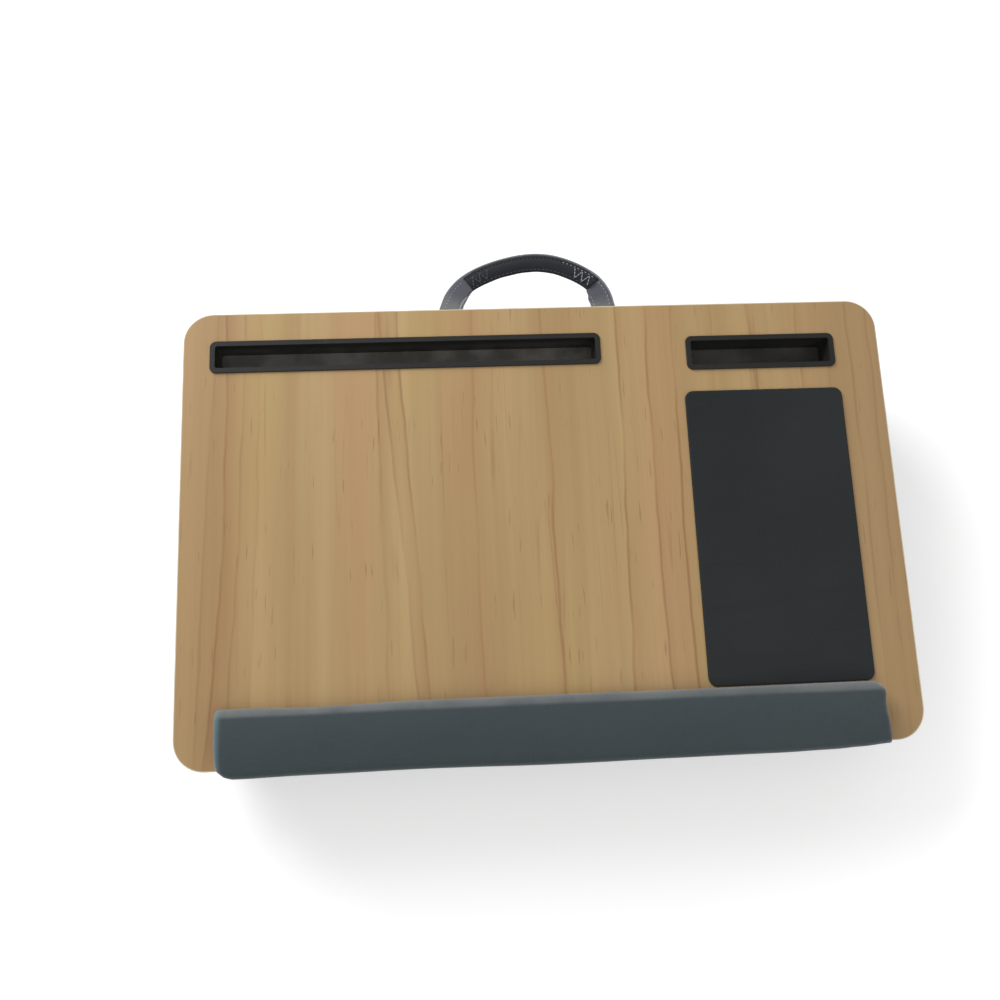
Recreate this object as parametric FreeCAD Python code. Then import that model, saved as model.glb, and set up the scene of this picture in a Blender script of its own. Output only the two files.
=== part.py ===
"""Lap desk for a laptop: a wood-grain board on a fabric base with two stuffed bolsters.

Lengths are millimetres. The pieces are drawn in the board's own frame: X to the right, Y to the back,
Z square to the board, with the origin on the middle of the board's underside. At the end every piece is
tilted and lifted together, so that the desk stands on its two bolsters at Z = 0.
"""

import FreeCAD
import Part
import math
import os
from FreeCAD import Vector

# Board
board_width = 550.0
board_depth = 345.0
board_corner_radius = 23.0
core_thickness = 8.8
laminate_thickness = 0.6
edge_band_thickness = 0.8
edge_band_round = 0.35

# Slot trays
tray_flange_height = 1.2
tray_flange_width = 4.0
tray_flange_corner_radius = 5.0
tray_flange_round = 0.5
tray_opening_corner_radius = 1.8
tray_wall = 1.5
tray_reach_below_board = 12.0
tray_fit_clearance = 0.4
tablet_slot_from_left = 20.5
tablet_slot_width = 25.8
tablet_slot_from_back = 35.5
phone_slot_from_right = 36.3
phone_slot_length = 120.0
phone_slot_width = 28.0
phone_slot_from_back = 41.3
slots_distance = 68.2
barb_length = 8.0
barb_height = 5.0
barb_reach = 1.1
barb_gap_to_board = 0.2
barb_end_distance = 30.0

# Mouse pad
mouse_pad_margin_beside_slot = 2.7
mouse_pad_set_left = 1.2
mouse_pad_from_phone_slot = 17.9
mouse_pad_from_wrist_rest = 0.5
mouse_pad_corner_radius = 6.5
mouse_pad_backing_thickness = 0.8
mouse_pad_surface_thickness = 0.6

# Wrist rest
wrist_rest_from_side = 29.5
wrist_rest_depth = 48.5
wrist_rest_height = 15.0
wrist_rest_overhang = 4.5
wrist_rest_edge_radius = 6.5
wrist_rest_crown_radius = 95.0
wrist_rest_end_taper = 18.0
wrist_rest_end_drop = 3.6
wrist_rest_end_narrowing = 4.0
wrist_end_stations_shares = ((0.0, 1.0, 1.0), (0.12, 0.58, 0.36), (0.4, 0.18, 0.06), (1.0, 0.0, 0.0))
wrist_tape_thickness = 0.4
wrist_tape_inset = 8.0
wrist_cover_thickness = 1.0

# Fabric base
fabric_thickness = 1.2
base_height = 20.0
gusset_top_inset = 2.0
panel_inset = 15.0
panel_corner_radius = 14.0
gusset_wall = 1.4
hem_width = 12.0
foam_clearance = 0.3
foam_pocket_clearance = 2.0
welt_radius = 1.7
welt_gap = 0.1
welt_end_gap = 1.5

# Bolsters, set in from the bottom panel's edges
rear_bolster_width = 90.0
rear_bolster_height = 57.0
rear_bolster_end_inset = 1.0
front_bolster_width = 61.0
front_bolster_height = 34.0
front_bolster_end_inset = 2.0
bolster_edge_inset = 0.5
bolster_seat_gap = 0.1
bolster_floor_cut = 0.5
end_panel_rise = 5.5
filling_clearance = 0.3

# Shape of a bolster's section and ends, as shares of its own width, height or end length
bottom_radius_share = 0.92
bottom_half_angle = 18.0
end_stations_shares = (
    (0.0, 0.80, 1.0),
    (0.10, 0.885, 0.82),
    (0.30, 0.965, 0.5),
    (0.62, 0.995, 0.18),
    (1.0, 1.0, 0.0),
    (1.3, 1.0, 0.0),
    (1.6, 1.0, 0.0),
)
end_length_share = 0.62
end_lean = 12.0
dome_stations_shares = ((0.0, 1.0), (0.62, 0.86), (1.0, 0.55))
ring_middle_share = 0.46

# Handle strap
handle_centre_x = -4.5
handle_outer_radius = 75.0
handle_strap_width = 18.0
handle_centre_from_back = -22.0
strap_thickness = 2.4
hinge_from_back = 3.0
hinge_gap = 0.3
tail_length = 24.0
grip_thickness = 5.0
grip_outer_inset = 0.6
grip_inner_inset = 2.6
grip_half_angle = 52.0
grip_round = 1.6

# Staples
staple_wire_width = 1.2
staple_wire_height = 0.6
staple_crown = 10.0
staple_leg = 6.0
staple_from_hem_edge = 5.0
staple_pitch = 62.0
staple_side_pitch = 66.0
tail_staple_crown_share = 0.55
tail_staple_places_shares = (0.17, 0.5)

overrun = 5.0

# Sizes that follow from the ones above
board_thickness = core_thickness + 2 * laminate_thickness
phone_slot_left_end = board_width - phone_slot_from_right - phone_slot_length
tablet_slot_length = phone_slot_left_end - slots_distance - tablet_slot_from_left
mouse_pad_width = phone_slot_length + 2 * mouse_pad_margin_beside_slot
mouse_pad_from_front = wrist_rest_depth - wrist_rest_overhang + mouse_pad_from_wrist_rest
phone_slot_front = board_depth - phone_slot_from_back - phone_slot_width / 2
mouse_pad_depth = phone_slot_front - mouse_pad_from_phone_slot - mouse_pad_from_front
wrist_rest_length = board_width - 2 * wrist_rest_from_side
handle_inner_radius = handle_outer_radius - handle_strap_width
seat_level = -base_height - fabric_thickness - bolster_seat_gap


def rounded_outline(width, depth, radius, level):
    """A closed wire: a rectangle with round corners, centred on the Z axis at the given level."""
    half_x = width / 2
    half_y = depth / 2
    side_x = half_x - radius
    side_y = half_y - radius
    corner = radius * math.sqrt(0.5)
    edges = []
    for x_sign, y_sign, first_is_side in ((1, 1, True), (-1, 1, False), (-1, -1, True), (1, -1, False)):
        on_side = Vector(x_sign * half_x, y_sign * side_y, level)
        on_end = Vector(x_sign * side_x, y_sign * half_y, level)
        middle = Vector(x_sign * (side_x + corner), y_sign * (side_y + corner), level)
        start, end = (on_side, on_end) if first_is_side else (on_end, on_side)
        edges.append((start, middle, end))
    wire_edges = []
    for index, (start, middle, end) in enumerate(edges):
        wire_edges.append(Part.Arc(start, middle, end).toShape())
        wire_edges.append(Part.LineSegment(end, edges[(index + 1) % len(edges)][0]).toShape())
    return Part.Wire(wire_edges)


def rounded_plate(width, depth, radius, low, high):
    """A flat plate with round corners between two levels."""
    return Part.Face(rounded_outline(width, depth, radius, low)).extrude(Vector(0, 0, high - low))


def tapered_plate(top, bottom):
    """A solid between two rounded outlines, each given as width, depth, radius and level."""
    return Part.makeLoft([rounded_outline(*top), rounded_outline(*bottom)], True, True)


def box_between(low, high):
    """A box from its lowest to its highest corner."""
    return Part.makeBox(high[0] - low[0], high[1] - low[1], high[2] - low[2], Vector(*low))


def moved(shape, x, y, z=0.0):
    """A copy of a shape, shifted."""
    copy = shape.copy()
    copy.translate(Vector(x, y, z))
    return copy


def slot_places():
    """Length, width and middle of each slot tray's flange."""
    tablet_x = -board_width / 2 + tablet_slot_from_left + tablet_slot_length / 2
    tablet_y = board_depth / 2 - tablet_slot_from_back
    phone_x = board_width / 2 - phone_slot_from_right - phone_slot_length / 2
    phone_y = board_depth / 2 - phone_slot_from_back
    return {
        "tablet": (tablet_slot_length, tablet_slot_width, tablet_x, tablet_y),
        "phone": (phone_slot_length, phone_slot_width, phone_x, phone_y),
    }


def trough_size(slot):
    """Outer length and width of the trough below a flange."""
    length, width, _, _ = slot
    shrink = 2 * (tray_flange_width - tray_wall)
    return length - shrink, width - shrink


def slot_hole(slot, clearance, low, high):
    """The space that a tray's trough needs, between two levels."""
    outer_length, outer_width = trough_size(slot)
    radius = tray_opening_corner_radius + tray_wall + clearance
    hole = rounded_plate(outer_length + 2 * clearance, outer_width + 2 * clearance, radius, low, high)
    return moved(hole, slot[2], slot[3])


def make_tray(slot):
    """One slot tray: flange, trough open at the top, and snap barbs that catch under the board."""
    length, width, x, y = slot
    outer_length, outer_width = trough_size(slot)
    flange_top = board_thickness + tray_flange_height
    flange = rounded_plate(length, width, tray_flange_corner_radius, board_thickness, flange_top)
    upper_half = flange_top - tray_flange_height / 2
    top_edges = [e for e in flange.Edges if min(v.Z for v in e.Vertexes) > upper_half]
    flange = flange.makeFillet(tray_flange_round, top_edges)
    floor = -tray_reach_below_board
    outer_radius = tray_opening_corner_radius + tray_wall
    trough = rounded_plate(outer_length, outer_width, outer_radius, floor, board_thickness)
    opening_length = length - 2 * tray_flange_width
    opening_width = width - 2 * tray_flange_width
    opening = rounded_plate(opening_length, opening_width, tray_opening_corner_radius,
                            floor + tray_wall, flange_top + overrun)
    tray = flange.fuse(trough).cut(opening)
    for barb in make_barbs(outer_length, outer_width):
        tray = tray.fuse(barb)
    return moved(tray.removeSplitter(), x, y)


def make_barbs(outer_length, outer_width):
    """Wedges on the trough's long walls, two near each end, just below the board."""
    barbs = []
    top = -barb_gap_to_board
    bite = tray_wall / 2
    for x_sign in (-1, 1):
        middle = x_sign * (outer_length / 2 - barb_end_distance)
        start = middle - barb_length / 2
        for y_sign in (-1, 1):
            wall = y_sign * outer_width / 2
            points = [
                Vector(start, wall - y_sign * bite, top),
                Vector(start, wall + y_sign * barb_reach, top),
                Vector(start, wall, top - barb_height),
                Vector(start, wall - y_sign * bite, top - barb_height),
            ]
            face = Part.Face(Part.makePolygon(points + points[:1]))
            barbs.append(face.extrude(Vector(barb_length, 0, 0)))
    return barbs


def make_board():
    """MDF core, the laminate on each face and the edge band round them."""
    inner_width = board_width - 2 * edge_band_thickness
    inner_depth = board_depth - 2 * edge_band_thickness
    inner_radius = board_corner_radius - edge_band_thickness
    levels = {
        "backing_laminate": (0.0, laminate_thickness),
        "board_core": (laminate_thickness, laminate_thickness + core_thickness),
        "wood_laminate": (laminate_thickness + core_thickness, board_thickness),
    }
    pieces = {}
    for name, (low, high) in levels.items():
        plate = rounded_plate(inner_width, inner_depth, inner_radius, low, high)
        for slot in slot_places().values():
            plate = plate.cut(slot_hole(slot, tray_fit_clearance, low - overrun, high + overrun))
        pieces[name] = plate
    band = rounded_plate(board_width, board_depth, board_corner_radius, 0.0, board_thickness)
    rims = [e for e in band.Edges if abs(e.BoundBox.ZLength) < edge_band_round]
    band = band.makeFillet(edge_band_round, rims)
    pieces["edge_band"] = band.cut(
        rounded_plate(inner_width, inner_depth, inner_radius, -overrun, board_thickness + overrun)
    )
    return pieces


def make_mouse_pad():
    """The rubber backing and the smooth sheet on it."""
    x = slot_places()["phone"][2] - mouse_pad_set_left
    y = -board_depth / 2 + mouse_pad_from_front + mouse_pad_depth / 2
    middle = board_thickness + mouse_pad_backing_thickness
    top = middle + mouse_pad_surface_thickness
    size = (mouse_pad_width, mouse_pad_depth, mouse_pad_corner_radius)
    return {
        "mouse_pad_backing": moved(rounded_plate(*size, board_thickness, middle), x, y),
        "mouse_pad_surface": moved(rounded_plate(*size, middle, top), x, y),
    }


def wrist_section(x, drop, narrowing, inset):
    """One cross-section of the wrist rest: flat below, upright sides, round edges and a low crown."""
    base = board_thickness + wrist_tape_thickness + inset
    middle = -board_depth / 2 - wrist_rest_overhang + wrist_rest_depth / 2
    half_depth = wrist_rest_depth / 2 - narrowing - inset
    top = board_thickness + wrist_tape_thickness + wrist_rest_height - drop
    crown_centre = top - wrist_rest_crown_radius
    edge_offset = wrist_rest_depth / 2 - narrowing - wrist_rest_edge_radius
    arm = wrist_rest_crown_radius - wrist_rest_edge_radius
    half_angle = math.asin(edge_offset / arm)
    edge_height = crown_centre + arm * math.cos(half_angle)
    crown = wrist_rest_crown_radius - inset
    edge = wrist_rest_edge_radius - inset
    join = Vector(0, edge_offset + edge * math.sin(half_angle), edge_height + edge * math.cos(half_angle))
    bend_angle = (half_angle + math.pi / 2) / 2
    bend = Vector(0, edge_offset + edge * math.sin(bend_angle), edge_height + edge * math.cos(bend_angle))

    def at(offset, height):
        return Vector(x, middle + offset, height)

    return Part.Wire([
        Part.LineSegment(at(half_depth, base), at(-half_depth, base)).toShape(),
        Part.LineSegment(at(-half_depth, base), at(-half_depth, edge_height)).toShape(),
        Part.Arc(at(-half_depth, edge_height), at(-bend.y, bend.z), at(-join.y, join.z)).toShape(),
        Part.Arc(at(-join.y, join.z), at(0, crown_centre + crown), at(join.y, join.z)).toShape(),
        Part.Arc(at(join.y, join.z), at(bend.y, bend.z), at(half_depth, edge_height)).toShape(),
        Part.LineSegment(at(half_depth, edge_height), at(half_depth, base)).toShape(),
    ])


def wrist_loft(inset):
    """The wrist rest's form at a distance inside its skin: it falls off and narrows towards both ends."""
    half = wrist_rest_length / 2 - inset
    sections = []
    for side, stations in ((-1, wrist_end_stations_shares), (1, wrist_end_stations_shares[::-1])):
        for along, drop, narrowing in stations:
            x = side * (half - along * wrist_rest_end_taper)
            narrower = narrowing * wrist_rest_end_narrowing
            sections.append(wrist_section(x, drop * wrist_rest_end_drop, narrower, inset))
    return Part.makeLoft(sections, True, False)


def make_wrist_rest():
    """Tape strip, fabric cover and foam core of the wrist rest."""
    tape_front = -board_depth / 2 + wrist_tape_inset / 2
    tape_back = -board_depth / 2 - wrist_rest_overhang + wrist_rest_depth - wrist_tape_inset
    half = wrist_rest_length / 2 - wrist_tape_inset
    tape_top = board_thickness + wrist_tape_thickness
    tape = box_between((-half, tape_front, board_thickness), (half, tape_back, tape_top))
    return {
        "wrist_rest_tape": tape,
        "wrist_rest_cover": wrist_loft(0.0).cut(wrist_loft(wrist_cover_thickness)),
        "wrist_rest_foam": wrist_loft(wrist_cover_thickness + filling_clearance),
    }


def bolster_arcs(width, height):
    """Radii and centres of a bolster's section: a wide arc below and a tight arc on each side."""
    bottom_radius = bottom_radius_share * width
    angle = math.radians(bottom_half_angle)
    side_radius = (width / 2 - bottom_radius * math.sin(angle)) / (1 - math.sin(angle))
    arm = bottom_radius - side_radius
    side_centre = (arm * math.sin(angle), height - bottom_radius + arm * math.cos(angle))
    return bottom_radius, side_radius, side_centre, angle


def bolster_section(bolster, share, inset, place, swell=1.0):
    """A closed section of a bolster.

    place turns a distance across and a distance down into a point, and swell scales about the
    ring's middle.
    """
    width = bolster["width"] * share
    height = bolster["height"] * share
    bottom_radius, side_radius, (side_across, side_down), angle = bolster_arcs(width, height)
    ring_middle = ring_middle_share * height
    side = side_radius - inset
    bottom_centre = height - bottom_radius
    seat_half = side_across + math.sqrt(side ** 2 - (side_down - inset) ** 2)
    join = (side_across + side * math.sin(angle), side_down + side * math.cos(angle))
    seat_angle = math.atan2(seat_half - side_across, inset - side_down)
    bend_angle = (angle + seat_angle) / 2
    bend = (side_across + side * math.sin(bend_angle), side_down + side * math.cos(bend_angle))

    def at(across, down):
        return place(across * swell, ring_middle + (down - ring_middle) * swell)

    lowest = bottom_centre + bottom_radius - inset
    return Part.Wire([
        Part.LineSegment(at(seat_half, inset), at(-seat_half, inset)).toShape(),
        Part.Arc(at(-seat_half, inset), at(-bend[0], bend[1]), at(-join[0], join[1])).toShape(),
        Part.Arc(at(-join[0], join[1]), at(0, lowest), at(join[0], join[1])).toShape(),
        Part.Arc(at(join[0], join[1]), at(bend[0], bend[1]), at(seat_half, inset)).toShape(),
    ])


def section_place(bolster, x, lean, outward, side):
    """How a section's own coordinates become a point: its plane leans outwards below the seat."""
    tilt = math.radians(lean)

    def place(across, down):
        run = x + down * math.sin(tilt) + outward * math.cos(tilt)
        drop = down * math.cos(tilt) - outward * math.sin(tilt)
        return Vector(side * run, bolster["y"] + across, seat_level - drop)

    return place


def bolster_loft(bolster, inset, shorter=0.0):
    """The bolster's form at a distance inside its skin, drawn in towards both ends."""
    half = bolster["seat_length"] / 2 - shorter
    end_length = end_length_share * bolster["width"]
    inner = []
    loft = None
    for side in (-1, 1):
        sections = []
        for along, share, lean in end_stations_shares:
            place = section_place(bolster, half - along * end_length, lean * end_lean, 0.0, side)
            sections.append(bolster_section(bolster, share, inset, place))
        end = Part.makeLoft(sections, True, False)
        inner.append(sections[-1])
        loft = end if loft is None else loft.fuse(end)
    return loft.fuse(Part.makeLoft(inner, True, True))


def end_panel_loft(bolster, side, inset, rise):
    """A domed cap on one end ring of a bolster."""
    ring_share = end_stations_shares[0][1]
    sections = []
    for out, swell in dome_stations_shares:
        place = section_place(bolster, bolster["seat_length"] / 2, end_lean, out * rise, side)
        sections.append(bolster_section(bolster, ring_share, inset, place, swell))
    return Part.makeLoft(sections, True, False)


def make_bolster(name, bolster):
    """Cover, two end panels and filling of one bolster."""
    pieces = {
        name + "_cover": bolster_loft(bolster, 0.0).cut(bolster_loft(bolster, fabric_thickness)),
        name + "_filling": bolster_loft(bolster, fabric_thickness + filling_clearance, filling_clearance),
    }
    for side, side_name in ((-1, "left"), (1, "right")):
        outer = end_panel_loft(bolster, side, 0.0, end_panel_rise)
        inner = end_panel_loft(bolster, side, fabric_thickness, end_panel_rise - fabric_thickness)
        pieces[name + "_end_" + side_name] = outer.cut(inner)
    return pieces


def bolster_data():
    """The two bolsters' sizes and places in the board's frame."""
    panel_length = board_width - 2 * panel_inset
    panel_end = board_depth / 2 - panel_inset - bolster_edge_inset
    return {
        "rear_bolster": {
            "width": rear_bolster_width,
            "height": rear_bolster_height,
            "seat_length": panel_length - 2 * rear_bolster_end_inset,
            "y": panel_end - rear_bolster_width / 2,
        },
        "front_bolster": {
            "width": front_bolster_width,
            "height": front_bolster_height,
            "seat_length": panel_length - 2 * front_bolster_end_inset,
            "y": front_bolster_width / 2 - panel_end,
        },
    }


def standing_pose():
    """Tilt of the board and height of its frame's origin, with both bolsters' bottom arcs on the floor."""
    centres = []
    for name in ("rear_bolster", "front_bolster"):
        bolster = bolster_data()[name]
        radius = bolster_arcs(bolster["width"], bolster["height"])[0]
        centres.append((bolster["y"], seat_level - bolster["height"] + radius, radius))
    (rear_y, rear_z, rear_radius), (front_y, front_z, front_radius) = centres
    reach = math.hypot(rear_y - front_y, rear_z - front_z)
    slope = math.atan2(rear_z - front_z, rear_y - front_y)
    tilt = math.asin((rear_radius - front_radius) / reach) - slope
    lift = rear_radius - rear_y * math.sin(tilt) - rear_z * math.cos(tilt) - bolster_floor_cut
    return tilt, lift


def gusset_outline(inset, level):
    """Width, depth, radius and level of the sloping gusset's outline at a level, moved in by a distance."""
    share = -level / base_height
    edge = gusset_top_inset + share * (panel_inset - gusset_top_inset) + inset
    top_radius = board_corner_radius - gusset_top_inset
    radius = top_radius + share * (panel_corner_radius - top_radius) - inset
    return board_width - 2 * edge, board_depth - 2 * edge, radius, level


def tail_outline(side, grow):
    """Corners of a strap tail seen from above, from its end under the board to the hinge."""
    root_y = board_depth / 2 + hinge_from_back
    centre_y = board_depth / 2 + handle_centre_from_back
    outer_x = math.sqrt(handle_outer_radius ** 2 - (root_y - centre_y) ** 2)
    inner_x = math.sqrt(handle_inner_radius ** 2 - (root_y - centre_y) ** 2)
    mean_radius = (handle_outer_radius + handle_inner_radius) / 2
    splay = (root_y - centre_y) / mean_radius
    run = Vector(splay, -math.sqrt(1 - splay ** 2), 0) * (tail_length + grow)
    end_gap = strap_thickness / 2 + hinge_gap
    root = root_y - end_gap
    corners = [Vector(inner_x - grow, root, 0), Vector(outer_x + grow, root, 0)]
    corners += [corners[1] + run, corners[0] + run]
    return [Vector(handle_centre_x + side * p.x, p.y, 0) for p in corners]


def tail_solid(side, grow, low, high):
    """A strap tail, or the space that one needs, between two levels."""
    corners = [Vector(p.x, p.y, low) for p in tail_outline(side, grow)]
    return Part.Face(Part.makePolygon(corners + corners[:1])).extrude(Vector(0, 0, high - low))


def staple_at(x, y, along_x, crown_length, crown_top):
    """One staple, crown down below the hem and legs up into the board."""
    half = crown_length / 2
    low = crown_top - staple_wire_height
    thin = staple_wire_width / 2
    crown = box_between((-half, -thin, low), (half, thin, crown_top))
    for side in (-1, 1):
        foot = side * (half - staple_wire_height / 2)
        leg = box_between((foot - staple_wire_height / 2, -thin, crown_top),
                          (foot + staple_wire_height / 2, thin, crown_top + staple_leg))
        crown = crown.fuse(leg)
    crown = crown.removeSplitter()
    if not along_x:
        crown.rotate(Vector(0, 0, 0), Vector(0, 0, 1), 90)
    return moved(crown, x, y)


def hem_staple_places():
    """Places of the staples round the hem, and whether each lies along X."""
    line_x = board_width / 2 - gusset_top_inset - staple_from_hem_edge
    line_y = board_depth / 2 - gusset_top_inset - staple_from_hem_edge
    places = []
    for pitch, limit, along_x in ((staple_pitch, line_x, True), (staple_side_pitch, line_y, False)):
        count = int((limit - board_corner_radius) // pitch)
        for index in range(-count, count + 1):
            for side in (-1, 1):
                if along_x:
                    places.append((index * pitch, side * line_y, True))
                else:
                    places.append((side * line_x, index * pitch, False))
    return places


def clear_of_tails(x, y):
    """Whether a hem staple stays away from the strap tails."""
    if y < 0:
        return True
    reach = staple_crown
    for side in (-1, 1):
        spread = [p.x for p in tail_outline(side, 0.0)]
        if min(spread) - reach < x < max(spread) + reach:
            return False
    return True


def make_staples():
    """The hem's staples, and the two that hold each strap tail."""
    hem = [staple_at(x, y, along_x, staple_crown, -fabric_thickness)
           for x, y, along_x in hem_staple_places() if clear_of_tails(x, y)]
    tails = []
    for side in (-1, 1):
        corners = tail_outline(side, 0.0)
        end = (corners[2] + corners[3]) / 2
        root = (corners[0] + corners[1]) / 2
        crown = tail_staple_crown_share * handle_strap_width
        for share in tail_staple_places_shares:
            spot = end + (root - end) * share
            tails.append(staple_at(spot.x, spot.y, True, crown, -strap_thickness))
    return hem, tails


def make_gusset(staples):
    """The sloping fabric band with its turned-in hem, cut into four at the corners."""
    outer = tapered_plate(gusset_outline(0.0, 0.0), gusset_outline(0.0, -base_height))
    inner = tapered_plate(gusset_outline(gusset_wall, 0.0), gusset_outline(gusset_wall, -base_height))
    wall = outer.cut(inner)
    hem_top = gusset_outline(gusset_wall / 2, 0.0)
    hem_inner = gusset_outline(hem_width, 0.0)
    hem = rounded_plate(*hem_top[:3], -fabric_thickness, 0.0)
    hem = hem.common(outer).cut(rounded_plate(*hem_inner[:3], -overrun, overrun))
    band = wall.fuse(hem)
    for side in (-1, 1):
        band = band.cut(tail_solid(side, hinge_gap, -strap_thickness - hinge_gap, overrun))
    for staple in staples:
        band = band.cut(staple)
    far = board_width
    near = board_depth / 2
    corner_x = board_width / 2 - near
    pieces = {}
    for name, x_sign in (("gusset_left", -1), ("gusset_right", 1)):
        start = Vector(x_sign * corner_x, 0, -far)
        outer_x = x_sign * (corner_x + far)
        corners = [start, Vector(outer_x, far, -far), Vector(outer_x, -far, -far)]
        wedge = Part.Face(Part.makePolygon(corners + corners[:1])).extrude(Vector(0, 0, 2 * far))
        pieces[name] = band.common(wedge)
        band = band.cut(wedge)
    for name, y_sign in (("gusset_front", -1), ("gusset_back", 1)):
        half = box_between((-far, min(0, y_sign * far), -far), (far, max(0, y_sign * far), far))
        pieces[name] = band.common(half)
    return pieces


def make_foam(staples):
    """The foam slab inside the base, with pockets for the trays and room for the hem, tails and staples."""
    foam_inset = gusset_wall + foam_clearance
    foam = tapered_plate(gusset_outline(foam_inset, 0.0), gusset_outline(foam_inset, -base_height))
    rebate = fabric_thickness + staple_wire_height + foam_clearance
    hem_inner = gusset_outline(hem_width + foam_clearance, 0.0)
    ring = rounded_plate(board_width, board_depth, board_corner_radius, -rebate, overrun)
    ring = ring.cut(rounded_plate(*hem_inner[:3], -rebate - overrun, 2 * overrun))
    foam = foam.cut(ring)
    notch = strap_thickness + staple_wire_height + foam_clearance
    for side in (-1, 1):
        foam = foam.cut(tail_solid(side, foam_clearance, -notch, overrun))
    pocket_floor = -tray_reach_below_board - foam_clearance
    for slot in slot_places().values():
        foam = foam.cut(slot_hole(slot, foam_pocket_clearance, pocket_floor, overrun))
    return foam


def make_welts():
    """The piping along the bottom panel's left and right edges, between the bolsters."""
    bolsters = bolster_data()
    start = bolsters["front_bolster"]["y"] + front_bolster_width / 2 + welt_end_gap
    end = bolsters["rear_bolster"]["y"] - rear_bolster_width / 2 - welt_end_gap
    x = board_width / 2 - panel_inset + welt_radius + welt_gap
    level = -base_height - fabric_thickness
    pieces = {}
    for name, side in (("side_welt_left", -1), ("side_welt_right", 1)):
        cord = Part.makeCylinder(welt_radius, end - start, Vector(side * x, start, level), Vector(0, 1, 0))
        pieces[name] = cord
    return pieces


def arc_band(outer, inner, low, high):
    """A flat ring about the handle's middle, between two levels."""
    centre = Vector(handle_centre_x, board_depth / 2 + handle_centre_from_back, low)
    ring = Part.makeCylinder(outer, high - low, centre)
    return ring.cut(Part.makeCylinder(inner, high - low, centre))


def make_handle_loop():
    """The swinging part of the strap: a flat arched band, its folded grip and a round hinge edge."""
    centre_y = board_depth / 2 + handle_centre_from_back
    root_y = board_depth / 2 + hinge_from_back
    level = -strap_thickness / 2
    far = handle_outer_radius + overrun
    band = arc_band(handle_outer_radius, handle_inner_radius, -strap_thickness, 0.0)
    beyond = box_between((handle_centre_x - far, root_y, -far), (handle_centre_x + far, root_y + far, far))
    band = band.common(beyond)
    grip = arc_band(handle_outer_radius - grip_outer_inset, handle_inner_radius + grip_inner_inset,
                    level - grip_thickness / 2, level + grip_thickness / 2)
    centre = Vector(handle_centre_x, centre_y, -far)
    half = math.radians(grip_half_angle)
    reach = 2 * far
    corners = [centre, centre + Vector(reach * math.sin(half), reach * math.cos(half), 0),
               centre + Vector(-reach * math.sin(half), reach * math.cos(half), 0)]
    wedge = Part.Face(Part.makePolygon(corners + corners[:1])).extrude(Vector(0, 0, 2 * far))
    grip = grip.common(wedge)
    band = band.cut(wedge)
    long_edges = [e for e in grip.Edges if e.Length > grip_thickness + handle_strap_width]
    grip = grip.makeFillet(grip_round, long_edges)
    loop = band.fuse(grip)
    outer_x = math.sqrt(handle_outer_radius ** 2 - (root_y - centre_y) ** 2)
    inner_x = math.sqrt(handle_inner_radius ** 2 - (root_y - centre_y) ** 2)
    for side in (-1, 1):
        start = handle_centre_x + (inner_x if side > 0 else -outer_x)
        foot = Vector(start, root_y, level)
        edge = Part.makeCylinder(strap_thickness / 2, outer_x - inner_x, foot, Vector(1, 0, 0))
        loop = loop.fuse(edge)
    return loop.removeSplitter()


def hinge_axis():
    """A point on the strap's bending line in the board's frame."""
    return Vector(handle_centre_x, board_depth / 2 + hinge_from_back, -strap_thickness / 2)


def make_pieces():
    """Every piece by name, in the board's frame."""
    pieces = make_board()
    for name, slot in slot_places().items():
        pieces[name + "_tray"] = make_tray(slot)
    pieces.update(make_mouse_pad())
    pieces.update(make_wrist_rest())
    hem_staples, tail_staples = make_staples()
    for staple in hem_staples + tail_staples:
        for name in ("board_core", "backing_laminate"):
            pieces[name] = pieces[name].cut(staple)
    pieces.update(make_gusset(hem_staples))
    panel = gusset_outline(0.0, -base_height)
    pieces["base_panel"] = rounded_plate(*panel[:3], -base_height - fabric_thickness, -base_height)
    pieces["base_foam"] = make_foam(hem_staples)
    pieces.update(make_welts())
    for name, bolster in bolster_data().items():
        pieces.update(make_bolster(name, bolster))
    pieces["handle_loop"] = make_handle_loop()
    for side, name in ((-1, "handle_tail_left"), (1, "handle_tail_right")):
        tail = tail_solid(side, 0.0, -strap_thickness, 0.0)
        for staple in tail_staples:
            tail = tail.cut(staple)
        pieces[name] = tail
    pieces["hem_staples"] = Part.makeCompound(hem_staples)
    pieces["tail_staples"] = Part.makeCompound(tail_staples)
    return pieces


def stand_up(shape, shift=0.0):
    """A copy of a shape from the board's frame, as the desk stands on its bolsters."""
    tilt, lift = standing_pose()
    copy = shape.copy()
    copy.rotate(Vector(0, 0, 0), Vector(1, 0, 0), math.degrees(tilt))
    copy.translate(Vector(0, shift, lift))
    return copy


def depth_shift(pieces):
    """How far to move the standing desk along Y so that its box is centred on the origin."""
    front = pieces["wrist_rest_cover"].optimalBoundingBox(False, False).YMin
    back = pieces["handle_loop"].optimalBoundingBox(False, False).YMax
    return -(front + back) / 2


def build():
    """Every piece by name, standing on Z = 0 with the box's bottom middle at the origin."""
    drawn = make_pieces()
    standing = {name: stand_up(shape) for name, shape in drawn.items()}
    shift = depth_shift(standing)
    below = box_between((-board_width, -board_width, -board_width), (board_width, board_width, 0.0))
    finished = {}
    for name, shape in standing.items():
        shape = moved(shape, 0.0, shift)
        if name.endswith("bolster_cover"):
            shape = shape.cut(below)
        finished[name] = shape
    return finished, shift


def main():
    """Writes one STEP file per piece."""
    os.makedirs("parts", exist_ok=True)
    finished, _ = build()
    for name, shape in finished.items():
        shape.exportStep("parts/" + name + ".step")


if __name__ == "__main__":
    main()
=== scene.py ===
from bisect import bisect_right
import math

import bmesh
import bpy
from mathutils import Matrix, Vector, noise
from mathutils.bvhtree import BVHTree


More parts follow.
